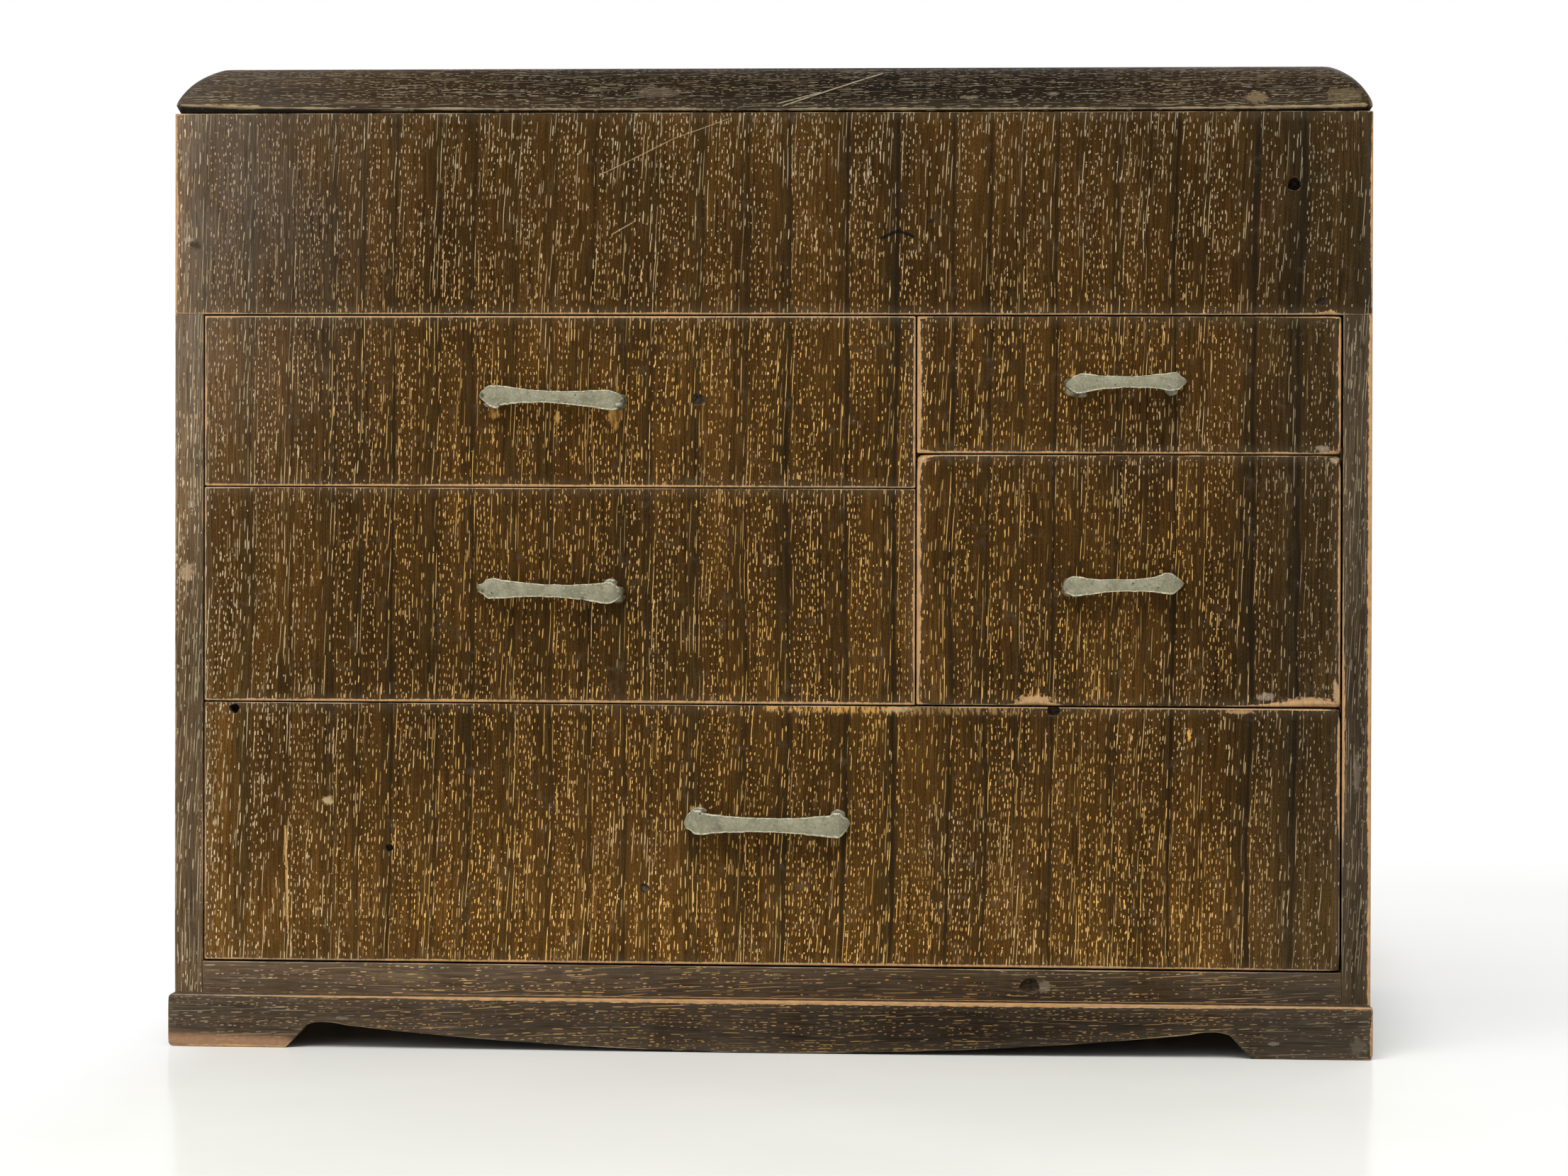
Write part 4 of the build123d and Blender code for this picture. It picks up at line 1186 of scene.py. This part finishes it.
# The upper and lower outline of each cast handle, from left to right about its middle. They hold the
# tilt that it was glued on with, the steps left by the casting's flash, and its small tip lobes.
HANDLE_UPPER = {
    "bottom": (
        (-10.39, 0.31), (-10.06, 0.96), (-9.62, 1.47), (-8.97, 1.80), (-8.13, 1.84), (-7.98, 1.52),
        (-6.05, 1.25), (-3.86, 1.03), (0, 0.89), (3.43, 0.92), (6.34, 1.15), (8.10, 1.33),
        (8.28, 1.60), (9.18, 1.57), (9.69, 1.06), (10.28, 0.60), (10.39, 0.16),
    ),
    "top_left": (
        (-9.24, 0.24), (-8.98, 0.67), (-8.48, 0.93), (-8.27, 1.17), (-7.77, 1.43), (-6.7, 1.43),
        (-5.12, 1.24), (-2.98, 0.99), (-1.26, 0.82), (0, 0.74), (2.03, 0.73), (3.46, 0.77),
        (5.32, 0.89), (6.75, 0.96), (7.47, 0.82), (8.04, 0.6), (8.76, 0.17), (9.24, -0.42),
    ),
    "middle_left": (
        (-9.24, 0.42), (-8.93, 0.72), (-8.37, 0.84), (-8.08, 1.15), (-7.51, 1.43), (-6.95, 1.49),
        (-5.53, 1.29), (-2.68, 0.98), (0, 0.8), (2.29, 0.77), (3.71, 0.82), (5.13, 0.89),
        (6.55, 0.98), (7.26, 1.12), (7.83, 1.04), (8.39, 0.65), (8.96, 0.23), (9.24, -0.13),
    ),
    "top_right": (
        (-7.54, -0.25), (-6.89, 0.31), (-6.21, 0.82), (-5.44, 1.05), (-4.41, 0.98), (-3.12, 0.8),
        (-1.2, 0.72), (0, 0.72), (1.76, 0.76), (3.3, 0.93), (4.59, 1.08), (5.75, 1.23),
        (6.39, 1.14), (6.77, 0.8), (7.29, 0.44), (7.54, 0.15),
    ),
    "middle_right": (
        (-7.54, -0.1), (-7.09, 0.54), (-6.31, 1.06), (-5.4, 1.06), (-4.1, 0.87), (-2.16, 0.74),
        (0, 0.74), (1.72, 0.83), (3.67, 1.09), (4.7, 1.32), (5.09, 1.52), (5.93, 1.56),
        (6.65, 1.06), (7.23, 0.61), (7.54, 0.28),
    ),
}
HANDLE_LOWER = {
    "bottom": (
        (-10.39, 0.0), (-10.06, -0.5), (-9.4, -0.79), (-8.89, -1.15), (-8.24, -1.27), (-6.05, -1.03),
        (-3.86, -0.92), (0, -0.89), (1.97, -0.92), (4.88, -1.15), (7.07, -1.41), (8.97, -1.52),
        (9.4, -1.3), (9.84, -0.79), (10.35, -0.13), (10.39, 0.0),
    ),
    "top_left": (
        (-9.24, 0.17), (-9.06, -0.11), (-8.63, -0.47), (-8.13, -0.83), (-7.7, -1.19), (-6.76, -1.45),
        (-6.55, -1.12), (-5.12, -0.9), (-3.69, -0.76), (-1.55, -0.72), (0, -0.76), (2.03, -0.93),
        (4.18, -1.22), (5.61, -1.4), (6.54, -1.56), (7.32, -1.68), (8.33, -1.50), (8.97, -1.1),
        (9.24, -0.62),
    ),
    "middle_left": (
        (-9.24, 0.30), (-9.0, -0.05), (-8.72, -0.24), (-8.37, -0.38), (-7.94, -0.77), (-7.37, -1.05),
        (-5.53, -0.98), (-3.39, -0.81), (-1.26, -0.77), (0, -0.8), (1.58, -0.88), (3.71, -1.08),
        (5.55, -1.34), (6.55, -1.5), (7.26, -1.6), (8.11, -1.4), (8.96, -0.77), (9.24, -0.30),
    ),
    "top_right": (
        (-7.54, -0.4), (-7.04, -0.8), (-6.47, -1.25), (-5.69, -1.45), (-4.67, -1.3), (-3.77, -1.04),
        (-1.84, -0.82), (0, -0.72), (2.02, -0.72), (3.3, -0.78), (4.59, -0.98), (5.62, -1.17),
        (6.52, -0.98), (7.03, -0.46), (7.54, 0.0),
    ),
    "middle_right": (
        (-7.54, -0.3), (-7.3, -0.7), (-6.7, -1.14), (-5.92, -1.45), (-5.01, -1.33), (-3.46, -1.08),
        (-1.52, -0.84), (0, -0.75), (1.72, -0.75), (3.67, -0.82), (4.96, -0.98), (6.13, -1.08),
        (6.77, -0.62), (7.29, -0.17), (7.54, 0.16),
    ),
}
# dents in the casting: (x, z, radius, depth) about the handle's middle
HANDLE_DENTS = {
    "bottom": ((-9.5, -0.15, 0.25, 0.12), (-8.6, -0.2, 0.12, 0.08), (-4.9, 0.15, 0.14, 0.08),
               (3.1, -0.2, 0.16, 0.1)),
    "top_left": ((-8.78, 0.1, 0.26, 0.55), (4.4, -0.45, 0.3, 0.10), (2.3, -0.3, 0.2, 0.08),
                 (6.2, -0.4, 0.5, 0.07)),
    "middle_left": ((-8.9, 0.05, 0.2, 0.3), (-8.35, -0.1, 0.22, 0.35), (4.3, -1.0, 0.22, 0.2),
                    (0.2, -0.7, 0.2, 0.1)),
    "top_right": ((-2.6, 0.0, 0.3, 0.06), (5.2, 0.1, 0.3, 0.06), (-5.3, 0.1, 0.4, 0.05)),
    "middle_right": ((3.3, 0.0, 0.14, 0.14), (1.0, -0.1, 0.3, 0.05), (-4.9, -0.15, 0.3, 0.06)),
}
# hard glue: lumps as (x, z, radius x, radius z, how far they stand out) about the handle's middle
HANDLE_GLUE = {
    "bottom": ((-8.6, 1.45, 1.0, 0.6, 0.35), (8.9, 1.25, 0.9, 0.7, 0.35)),
    "top_left": ((8.25, -0.75, 1.05, 0.95, 2.45), (8.75, -0.25, 0.72, 0.62, 2.25),
                 (-8.0, -0.9, 0.8, 0.5, 0.5)),
    "middle_left": ((8.45, -0.85, 1.0, 0.75, 1.9), (8.75, -0.1, 0.6, 0.65, 2.0),
                    (7.6, 1.0, 0.8, 0.5, 0.4)),
    "top_right": ((-6.5, -1.05, 1.2, 0.75, 1.5), (-7.0, -0.35, 0.7, 0.8, 1.7), (-5.7, -1.4, 0.9, 0.5, 0.7),
                  (5.6, -1.15, 0.9, 0.55, 0.5)),
    "middle_right": ((-6.8, -0.75, 0.8, 0.8, 1.9), (-6.75, 0.15, 0.7, 0.7, 1.6)),
}

# Half of the bar's section: share of its half height, and how far the face falls back there.
BAR_SECTION = (
    (0.00, 0.000), (0.14, 0.000), (0.28, 0.003), (0.42, 0.010), (0.54, 0.020), (0.64, 0.034),
    (0.72, 0.048), (0.79, 0.060), (0.845, 0.052), (0.885, 0.026), (0.92, 0.014), (0.95, 0.028),
    (0.975, 0.075), (0.992, 0.150), (1.00, 0.270),
)
FACE_FALL = BAR_SECTION[-1][1]
# Its flank and back: share of the half height, and of the way from face to back.
BAR_FLANK = ((1.0, 0.35), (1.0, 0.65), (0.985, 0.88), (0.93, 1.0))
BAR_BACK = (0.5, 0.0, -0.5)


def smooth_line(x, knots):
    """A smooth curve through knots that never overshoots them."""
    kx, ky = np.array(knots, float).T
    step = np.diff(kx)
    slope = np.diff(ky) / step
    inner = np.where(
        slope[:-1] * slope[1:] > 0,
        2 * slope[:-1] * slope[1:] / np.where(slope[:-1] + slope[1:] == 0, 1, slope[:-1] + slope[1:]),
        0,
    )
    tangent = np.concatenate([[slope[0]], inner, [slope[-1]]])
    n = np.clip(np.searchsorted(kx, x) - 1, 0, len(step) - 1)
    t = np.clip((x - kx[n]) / step[n], 0, 1)
    h = step[n]
    return (
        (2 * t**3 - 3 * t**2 + 1) * ky[n] + (t**3 - 2 * t**2 + t) * h * tangent[n]
        + (3 * t**2 - 2 * t**3) * ky[n + 1] + (t**3 - t**2) * h * tangent[n + 1]
    )


def bend(x, face, reach):
    """How far out from the wood a face of the bar is: flat, then curving down towards its ends."""
    past = np.clip((np.abs(x) - reach) / HANDLE_BEND, 0, 1)
    foot = HANDLE_HEEL if face > HANDLE_STAND_OFF - HANDLE_THICK else 0.0
    return foot + (face - foot) * np.sqrt(np.maximum(1 - past**2, 0))


def bar_lines(name, half, seed):
    """The places along one handle's bar, and there its middle, half height, face and back."""
    turns = np.linspace(-math.pi / 2, math.pi / 2, 41)
    even = np.arange(-half + HANDLE_STEP, half, HANDLE_STEP)
    stations = np.unique(np.round(np.concatenate([np.sin(turns) * half, even]), 3))
    upper = smooth_line(stations, HANDLE_UPPER[name])
    lower = smooth_line(stations, HANDLE_LOWER[name])
    line = np.stack([stations, 0 * stations, 0 * stations], 1)
    upper = upper + 0.045 * ripple(line, 0.75, seed) + 0.04 * ripple(line, 0.31, seed + 5)
    lower = lower + 0.045 * ripple(line, 0.75, seed + 1) + 0.04 * ripple(line, 0.31, seed + 6)
    closing = np.sqrt(np.clip(1 - ((np.abs(stations) - half + 0.5) / 0.5).clip(0, 1) ** 2, 0.004, 1))
    tall = np.maximum((upper - lower) / 2 * closing, 0.02)
    face = bend(stations, HANDLE_STAND_OFF, half - HANDLE_BEND)
    back = bend(stations, HANDLE_STAND_OFF - HANDLE_THICK, half - HANDLE_THICK - HANDLE_BEND)
    ends = np.abs(stations) >= half - HANDLE_THICK
    back = np.where(ends, -HANDLE_INTO_WOOD, np.maximum(back, -HANDLE_INTO_WOOD))
    return stations, (upper + lower) / 2, tall, face, back


def bar_section():
    """(share of the half height, depth, "face" or "flank") all the way round the bar."""
    around = [(-a, d, "face") for a, d in reversed(BAR_SECTION)]
    around += [(a, d, "face") for a, d in BAR_SECTION[1:]]
    around += [(a, t, "flank") for a, t in BAR_FLANK] + [(a, 1.0, "flank") for a in BAR_BACK]
    return around + [(-a, t, "flank") for a, t in reversed(BAR_FLANK)]


def handle_metal_mesh(name, middle, wood_y, half, seed):
    """(points, faces, edge highlight, darkening) of one cast handle: the third marks a painted highlight
    along the bar's edges, the fourth marks dirt and painted shade on its flanks towards the wood, in the
    face's groove and in the dents.
    """
    stations, centre, tall, face, back = bar_lines(name, half, seed)
    around = bar_section()
    rows, rim_highlight_rows, grime_and_shade_rows = [], [], []
    for a, d, kind in around:
        fall = np.clip(tall / 0.8, 0.15, 1)
        if kind == "face":
            out = face - d * fall
            # the face's groove takes dirt and painted shade; its outer edges a painted highlight
            grime_and_shade = 0.25 if 0.7 < abs(a) < 0.87 else 0.0
            rim_highlight = min(1.0, max(0.0, (abs(a) - 0.80) / 0.12))
        else:
            out = face - FACE_FALL * fall
            out = out + (back - out) * d
            # the flanks darken towards the wood with painted shade and dirt, and keep a little painted
            # highlight
            grime_and_shade = 0.10 + 0.65 * d
            rim_highlight = 0.3
        rows.append(np.stack([stations, out, centre + a * tall], 1))
        rim_highlight_rows.append(0 * stations + rim_highlight)
        grime_and_shade_rows.append(0 * stations + grime_and_shade)
    points = np.stack(rows, 1)
    rim_highlight, grime_and_shade = np.stack(rim_highlight_rows, 1), np.stack(grime_and_shade_rows, 1)
    flat = points.reshape(-1, 3)
    rough = 0.02 * ripple(flat, 0.9, seed + 2) + 0.014 * ripple(flat, 0.35, seed + 3)
    facing = np.tile(np.array([kind == "face" for _, _, kind in around], float), len(stations))
    flat[:, 1] += rough * facing
    for x, z, radius, deep in HANDLE_DENTS[name]:
        hit = np.exp(-((flat[:, 0] - x) ** 2 + (flat[:, 2] - z) ** 2) / radius**2) * facing
        flat[:, 1] -= deep * hit
        # the dents take dirt and painted shade
        grime_and_shade.reshape(-1)[:] += hit * min(1.0, deep * 4)
    index = np.arange(len(flat)).reshape(len(stations), len(around))
    after = np.roll(index, -1, axis=1)
    quads = np.stack([index[:-1], index[1:], after[1:], after[:-1]], -1).reshape(-1, 4)
    faces = quads.tolist() + [list(index[0]), list(index[-1][::-1])]
    world = np.stack([flat[:, 0] + middle[0], wood_y - flat[:, 1], flat[:, 2] + middle[2]], 1)
    return world, faces, rim_highlight.reshape(-1), grime_and_shade.reshape(-1)


def lump(centre, radii, seed):
    """(points, quads) of one irregular lump."""
    stops = [np.tan(np.linspace(-math.pi / 4, math.pi / 4, 13))] * 3
    points, quads = surface_grid(stops)
    points = points / np.linalg.norm(points, axis=1, keepdims=True)
    uneven = 1 + 0.16 * ripple(points, 0.7, seed) + 0.08 * ripple(points, 0.3, seed + 1)
    return points * uneven[:, None] * radii + centre, quads.tolist()


def handle(name, seed):
    low, high = box_mm(f"handle_{name}")
    middle = (low + high) / 2
    wood_y = box_mm(f"drawer_{name}_front")[0][1]
    half = (high[0] - low[0]) / 2
    points, faces, rim_highlight, grime_and_shade = handle_metal_mesh(name, middle, wood_y, half, seed)
    metal_faces = len(faces)
    for n, (x, z, rx, rz, out) in enumerate(HANDLE_GLUE[name]):
        centre = np.array([middle[0] + x, wood_y - 0.4 * out, middle[2] + z])
        more, quads = lump(centre, np.array([rx, 0.6 * out, rz]), seed + 20 + n)
        more[:, 1] = np.minimum(more[:, 1], wood_y + 0.25)
        faces += [[corner + len(points) for corner in quad] for quad in quads]
        points = np.concatenate([points, more])
        rim_highlight = np.concatenate([rim_highlight, np.zeros(len(more))])
        grime_and_shade = np.concatenate([grime_and_shade, np.zeros(len(more))])
    piece = new_object(f"cast_handle_{name}", points, faces)
    mesh = piece.data
    mesh.materials.append(CAST_METAL)
    mesh.materials.append(OLD_GLUE)
    choice = np.zeros(len(mesh.polygons), int)
    choice[metal_faces:] = 1
    mesh.polygons.foreach_set("material_index", choice)
    set_attribute(mesh, "rim_highlight", rim_highlight)
    set_attribute(mesh, "grime_and_shade", np.clip(grime_and_shade, 0, 1))
    tidy_normals(piece)
    smooth(piece, 60)
    claim(piece, f"drawer_{name}", f"handle_{name}")


# ---- Build --------------------------------------------------------------------------------------

make_camera()

STAINED_UP = stained_wood("stained_wood_upright", "z", 2.0, marks=FRONT_MARKS)
STAINED_SIDE = stained_wood("stained_wood_side", "z", 2.0, greyness=0.32, pore_grey=0.3, streaky=0.55,
                            tones=SIDE_TONES_AND_LIGHT, heights=SIDE_HEIGHTS, sparse_end=0.0,
                            front_only=SIDE_FRONT_ONLY, marks=SIDE_MARKS)
STAINED_LONG = stained_wood("stained_wood_rail", "x", 6.0, greyness=0.60, pore_chance=0.8, pore_grey=0.25,
                            streaky=0.3, tones=RAIL_TONES, heights=LEVEL_TONES, marks=RAIL_MARKS)
STAINED_APRON = stained_wood("stained_wood_apron", "x", 14.0, greyness=0.75, pore_chance=1.1, pore_grey=0.2,
                             tones=APRON_TONES, heights=LEVEL_TONES, marks=APRON_MARKS)
STAINED_LID = stained_wood("stained_wood_lid", "x", 23.0, greyness=0.17, pore_chance=1.85, pore_grey=0.14,
                           streaky=0.15, tones=LID_TONES_AND_SHADE, heights=LEVEL_TONES, marks=LID_MARKS,
                           bare=LID_BARE, sparse_end=0.2, flank=LID_FLANK_TONE_AND_SHADE,
                           front_only=LID_FRONT_ONLY)
HOLE_WOOD = hole_wood()
BARE_LONG = bare_wood("bare_wood_lengthwise", "x", (0.36, 0.215, 0.105), (0.47, 0.30, 0.16), 4.0)
BARE_DEEP = bare_wood("bare_wood_front_to_back", "y", (0.30, 0.18, 0.09), (0.42, 0.27, 0.145), 9.0)
CAST_METAL = cast_metal()
OLD_GLUE = clouded("old_glue", 1.2, (0.35, 0.65), GLUE, (0.3, 0.12), (0.12, 0.7),
                   {"Coat Weight": 0.4, "Coat Roughness": 0.15})
OLD_BRASS = old_brass()
OLD_STEEL = clouded("old_steel", 1.4, (0.4, 0.65), STEEL, (0.4, 0.28), (0.03, 0.6), {"Metallic": 0.85})

# Places are (x, z) on the front, in millimetres; see Wear for what each row holds.
FRONT_WEAR = {
    "top_left": Wear(
        0.16,
        rubs=[(18.2, 81, 0.5, 12, 0.5), (-71, 80, 0.5, 12, 0.4), (-30, 70.4, 50, 0.4, 0.9),
              (-30, 91.7, 60, 0.3, 0.6)],
        stains=[(-18.9, 80.0, 1.3, 1.2, 1.0), (-19.3, 78.2, 0.6, 1.5, 1.0), (-34.7, 79.6, 0.9, 0.9, 1.1),
                (-18.9, 82.3, 0.9, 0.7, 0.8)],
        holes=[(-8.8, 81.35, 0.75, 0.9, 1.1)],
    ),
    "middle_left": Wear(
        0.16,
        rubs=[(18.2, 57, 0.5, 14, 0.5), (-71, 57, 0.5, 14, 0.4), (-20, 43.4, 60, 0.5, 1.0)],
        stains=[(-19.3, 58.6, 0.9, 0.6, 0.6)],
    ),
    "top_right": Wear(
        0.18,
        chips=[(70.9, 74.8, 1.2, 1.2, 0.6), (70.9, 91.6, 0.8, 0.8, 0.2)],
        rubs=[(18.6, 83, 1.3, 11, 1.9), (71, 83, 0.8, 10, 0.9), (45, 74.8, 28, 0.4, 0.7),
              (70.5, 75, 1.5, 1.0, 0.7)],
        stains=[(38.3, 84.6, 0.9, 0.9, 0.8), (37.5, 82.8, 0.7, 1.1, 0.8), (50.4, 82.2, 1.0, 0.7, 0.6)],
    ),
    "middle_right": Wear(
        0.2,
        chips=[(18.7, 74.3, 1.6, 1.6, 0.75), (70.9, 74.3, 1.4, 1.4, 0.7), (68.5, 43.4, 3.5, 0.7, 0.55),
               (33.3, 43.4, 1.6, 0.6, 0.5)],
        rubs=[(18.6, 60, 1.3, 18, 1.9), (71, 60, 0.7, 16, 0.7), (67, 43.5, 5.0, 1.4, 2.4),
              (33.4, 43.6, 2.2, 1.1, 2.2), (18.7, 74.3, 1.5, 1.5, 0.9)],
        stains=[(37.6, 58.0, 0.8, 1.2, 0.5)],
    ),
    "bottom": Wear(
        0.16,
        chips=[(70.9, 43.0, 1.3, 1.3, 0.7), (18.5, 43.1, 7.0, 0.3, 0.15), (70.9, 10.8, 1.0, 1.0, 0.4)],
        rubs=[(71, 36, 0.7, 7, 1.0), (50, 43.0, 20, 0.35, 0.4), (-71, 27, 0.5, 18, 0.3),
              (0, 10.7, 75, 0.4, 1.1)],
        stains=[(-8.7, 30.0, 1.2, 0.8, 1.0), (8.9, 29.7, 1.1, 0.8, 0.9)],
        holes=[(-67.4, 42.3, 0.6, 2.5, 1.0), (-47.7, 24.9, 0.5, 1.2, 1.0), (-15.4, 20.15, 0.55, 0.35, 1.0),
               (35.7, 42.7, 0.75, 1.6, 1.1)],
    ),
}

WIDER_FRONTS = ("top_right", "middle_right", "bottom")
WIDER = 0.15                 # their right edge reaches this much past the CAD front's

for index, name in enumerate(DRAWERS):
    board(f"drawer_{name}_front", f"drawer_{name}", STAINED_UP, FRONT_WEAR[name], seed=2.0 + index,
          wider=WIDER if name in WIDER_FRONTS else 0.0)
    handle(name, 40.0 + 7 * index)

board("well_front", "case", STAINED_UP, Wear(
    0.2,
    chips=[(69.5, 92.3, 1.1, 0.8, 0.5)],
    rubs=[(69.65, 92.7, 0.9, 0.8, 1.6), (-75.2, 104, 1.5, 14, 1.1), (75.2, 104, 0.9, 14, 0.8),
          (0, 92, 80, 0.3, 0.6)],
    holes=[(65.3, 108.15, 0.85, 2.6, 1.0), (68.7, 93.6, 0.55, 0.8, 1.3)],
), seed=3.0)
board("front_rail", "case", STAINED_LONG, Wear(0.12, holes=[(32.8, 8.35, 0.95, 1.3, 1.25)]), seed=4.0)
for side, sign in (("left", -1), ("right", 1)):
    low, high = box_mm(f"side_{side}")
    notch = ((low[0] - 1, low[1] - 1, CASE_LOW[2]), (high[0] + 1, CASE_HIGH[1], high[2] + 1))
    wear = Wear(0.25, rubs=[(sign * 75.2, 60, 1.5, 70, 0.9 + 0.7 * sign),
                            (sign * 71.5, 40, 0.5, 12, 0.5 + 0.5 * sign)])
    board(f"side_{side}", "case", STAINED_SIDE, wear, seed=5.0 + sign, cuts=[notch], step=1.2)
lid()
apron()

BEVELS = {"bare_wood": 0.15, "hinge_brass": 0.06, "nail_steel": 0.04}
SLOTS = {row["node"]: row["material_slot"] for row in frame["record"]["subparts"]}
REPLACED = {"side_left", "side_right", "front_rail", "apron", "well_front", "lid_board"}
REPLACED |= {f"drawer_{name}_front" for name in DRAWERS} | {f"handle_{name}" for name in DRAWERS}
for name, node in frame["nodes"].items():
    if name in REPLACED:
        continue
    slot_name = SLOTS[name]
    choice = {"bare_wood": BARE_LONG, "hinge_brass": OLD_BRASS, "nail_steel": OLD_STEEL}[slot_name]
    if name.endswith(("side_l", "side_r")) or name == "partition":
        choice = BARE_DEEP
    for slot in node.material_slots:
        slot.material = choice
    weld = node.modifiers.new("weld", "WELD")
    weld.merge_threshold = 0.005 * MM
    ease = node.modifiers.new("ease", "BEVEL")
    ease.width = BEVELS[slot_name] * MM
    ease.segments = 2
    ease.limit_method = "ANGLE"
    ease.angle_limit = math.radians(40)
    ease.use_clamp_overlap = True


# ---- Stage --------------------------------------------------------------------------------------

FLOOR_HALF = 3000
FLOOR_LOW, FLOOR_HIGH = (0.695, 0.695, 0.660), (0.725, 0.725, 0.690)
# The floor turns white with the distance from this place, on the left and partly on the right, by a mixed-in
# white glow. Far off the glow is the backdrop; beside the chest's left end it is a painted reflection of the
# white backdrop, and beside its right end painted light that lightens the chest's shadow.
WHITE_ROUND = (25, -60)
WHITE_FROM = 190
WHITE_AT = 330
PAINTED_GLOW_LEFT = (-66, -84)
PAINTED_GLOW_RIGHT = (70, 88)
PAINTED_GLOW_RIGHT_SHARE = 0.5
WORLD_LIGHT = 0.55

LIGHTS = (
    # name, place, size, power, aim
    ("key", (-70, -430, 760), 560, 6.8, (0, -30, 40)),
    ("side", (-420, -480, 200), 360, 0.8, (0, 0, 50)),
    ("back", (120, 560, 520), 420, 1.6, (0, 0, 60)),
)


def floor_material():
    """Pale and faintly glossy near the chest, fading to a white glow around it; the glow beside the chest's
    ends is painted light.
    """
    g = Graph("pale_floor")
    place = g.object_mm()
    grit = g.even_noise(place, 0.02, 4.0)
    colour = g.mix(g.fade(grit, 0.3, 0.7), FLOOR_LOW, FLOOR_HIGH)
    x, y, _ = g.split(place)
    away = g.length(g.join(x - float(WHITE_ROUND[0]), y - float(WHITE_ROUND[1])))
    shader = g.node("ShaderNodeBsdfPrincipled", {"Base Color": colour, "Roughness": 0.16, "IOR": 1.04})
    white = g.node("ShaderNodeEmission", {0: (1, 1, 1, 1), 1: 1.0})
    # the white glow: far off, the backdrop; beside the chest's ends, painted light, a painted reflection of
    # the backdrop on the left and a lightened shadow on the right
    share = g.math("MAXIMUM", g.fade(away, WHITE_FROM, WHITE_AT), g.fade(x, *PAINTED_GLOW_LEFT))
    share = g.math("MAXIMUM", share, g.fade(x, *PAINTED_GLOW_RIGHT) * PAINTED_GLOW_RIGHT_SHARE)
    both = g.node("ShaderNodeMixShader", {0: share, 1: shader.outputs[0], 2: white.outputs[0]})
    output = g.node("ShaderNodeOutputMaterial")
    g.tree.links.new(both.outputs[0], output.inputs[0])
    return g.material


def make_world():
    """White to the camera and in reflections, dimmer as a light, so that the soft boxes model the shape."""
    world = bpy.data.worlds.new("studio")
    world.use_nodes = True
    tree = world.node_tree
    path = tree.nodes.new("ShaderNodeLightPath")
    strength = tree.nodes.new("ShaderNodeMapRange")
    strength.inputs["To Min"].default_value = 1.0
    strength.inputs["To Max"].default_value = WORLD_LIGHT
    tree.links.new(path.outputs["Is Diffuse Ray"], strength.inputs["Value"])
    background = tree.nodes["Background"]
    background.inputs[0].default_value = (1.0, 1.0, 1.0, 1)
    tree.links.new(strength.outputs[0], background.inputs[1])
    bpy.context.scene.world = world


def make_stage():
    corners = np.array([(-1, -1, 0), (1, -1, 0), (1, 1, 0), (-1, 1, 0)]) * FLOOR_HALF
    floor = new_object("floor", corners, [(0, 1, 2, 3)])
    floor.data.materials.append(floor_material())
    make_world()
    for name, place, size, power, aim in LIGHTS:
        data = bpy.data.lights.new(name, "AREA")
        data.size = size * MM
        data.energy = power
        light = bpy.data.objects.new(name, data)
        light.location = Vector(place) * MM
        light.rotation_euler = (Vector(aim) * MM - light.location).to_track_quat("-Z", "Y").to_euler()
        bpy.context.scene.collection.objects.link(light)
    bpy.context.scene.view_settings.view_transform = "Standard"


make_stage()
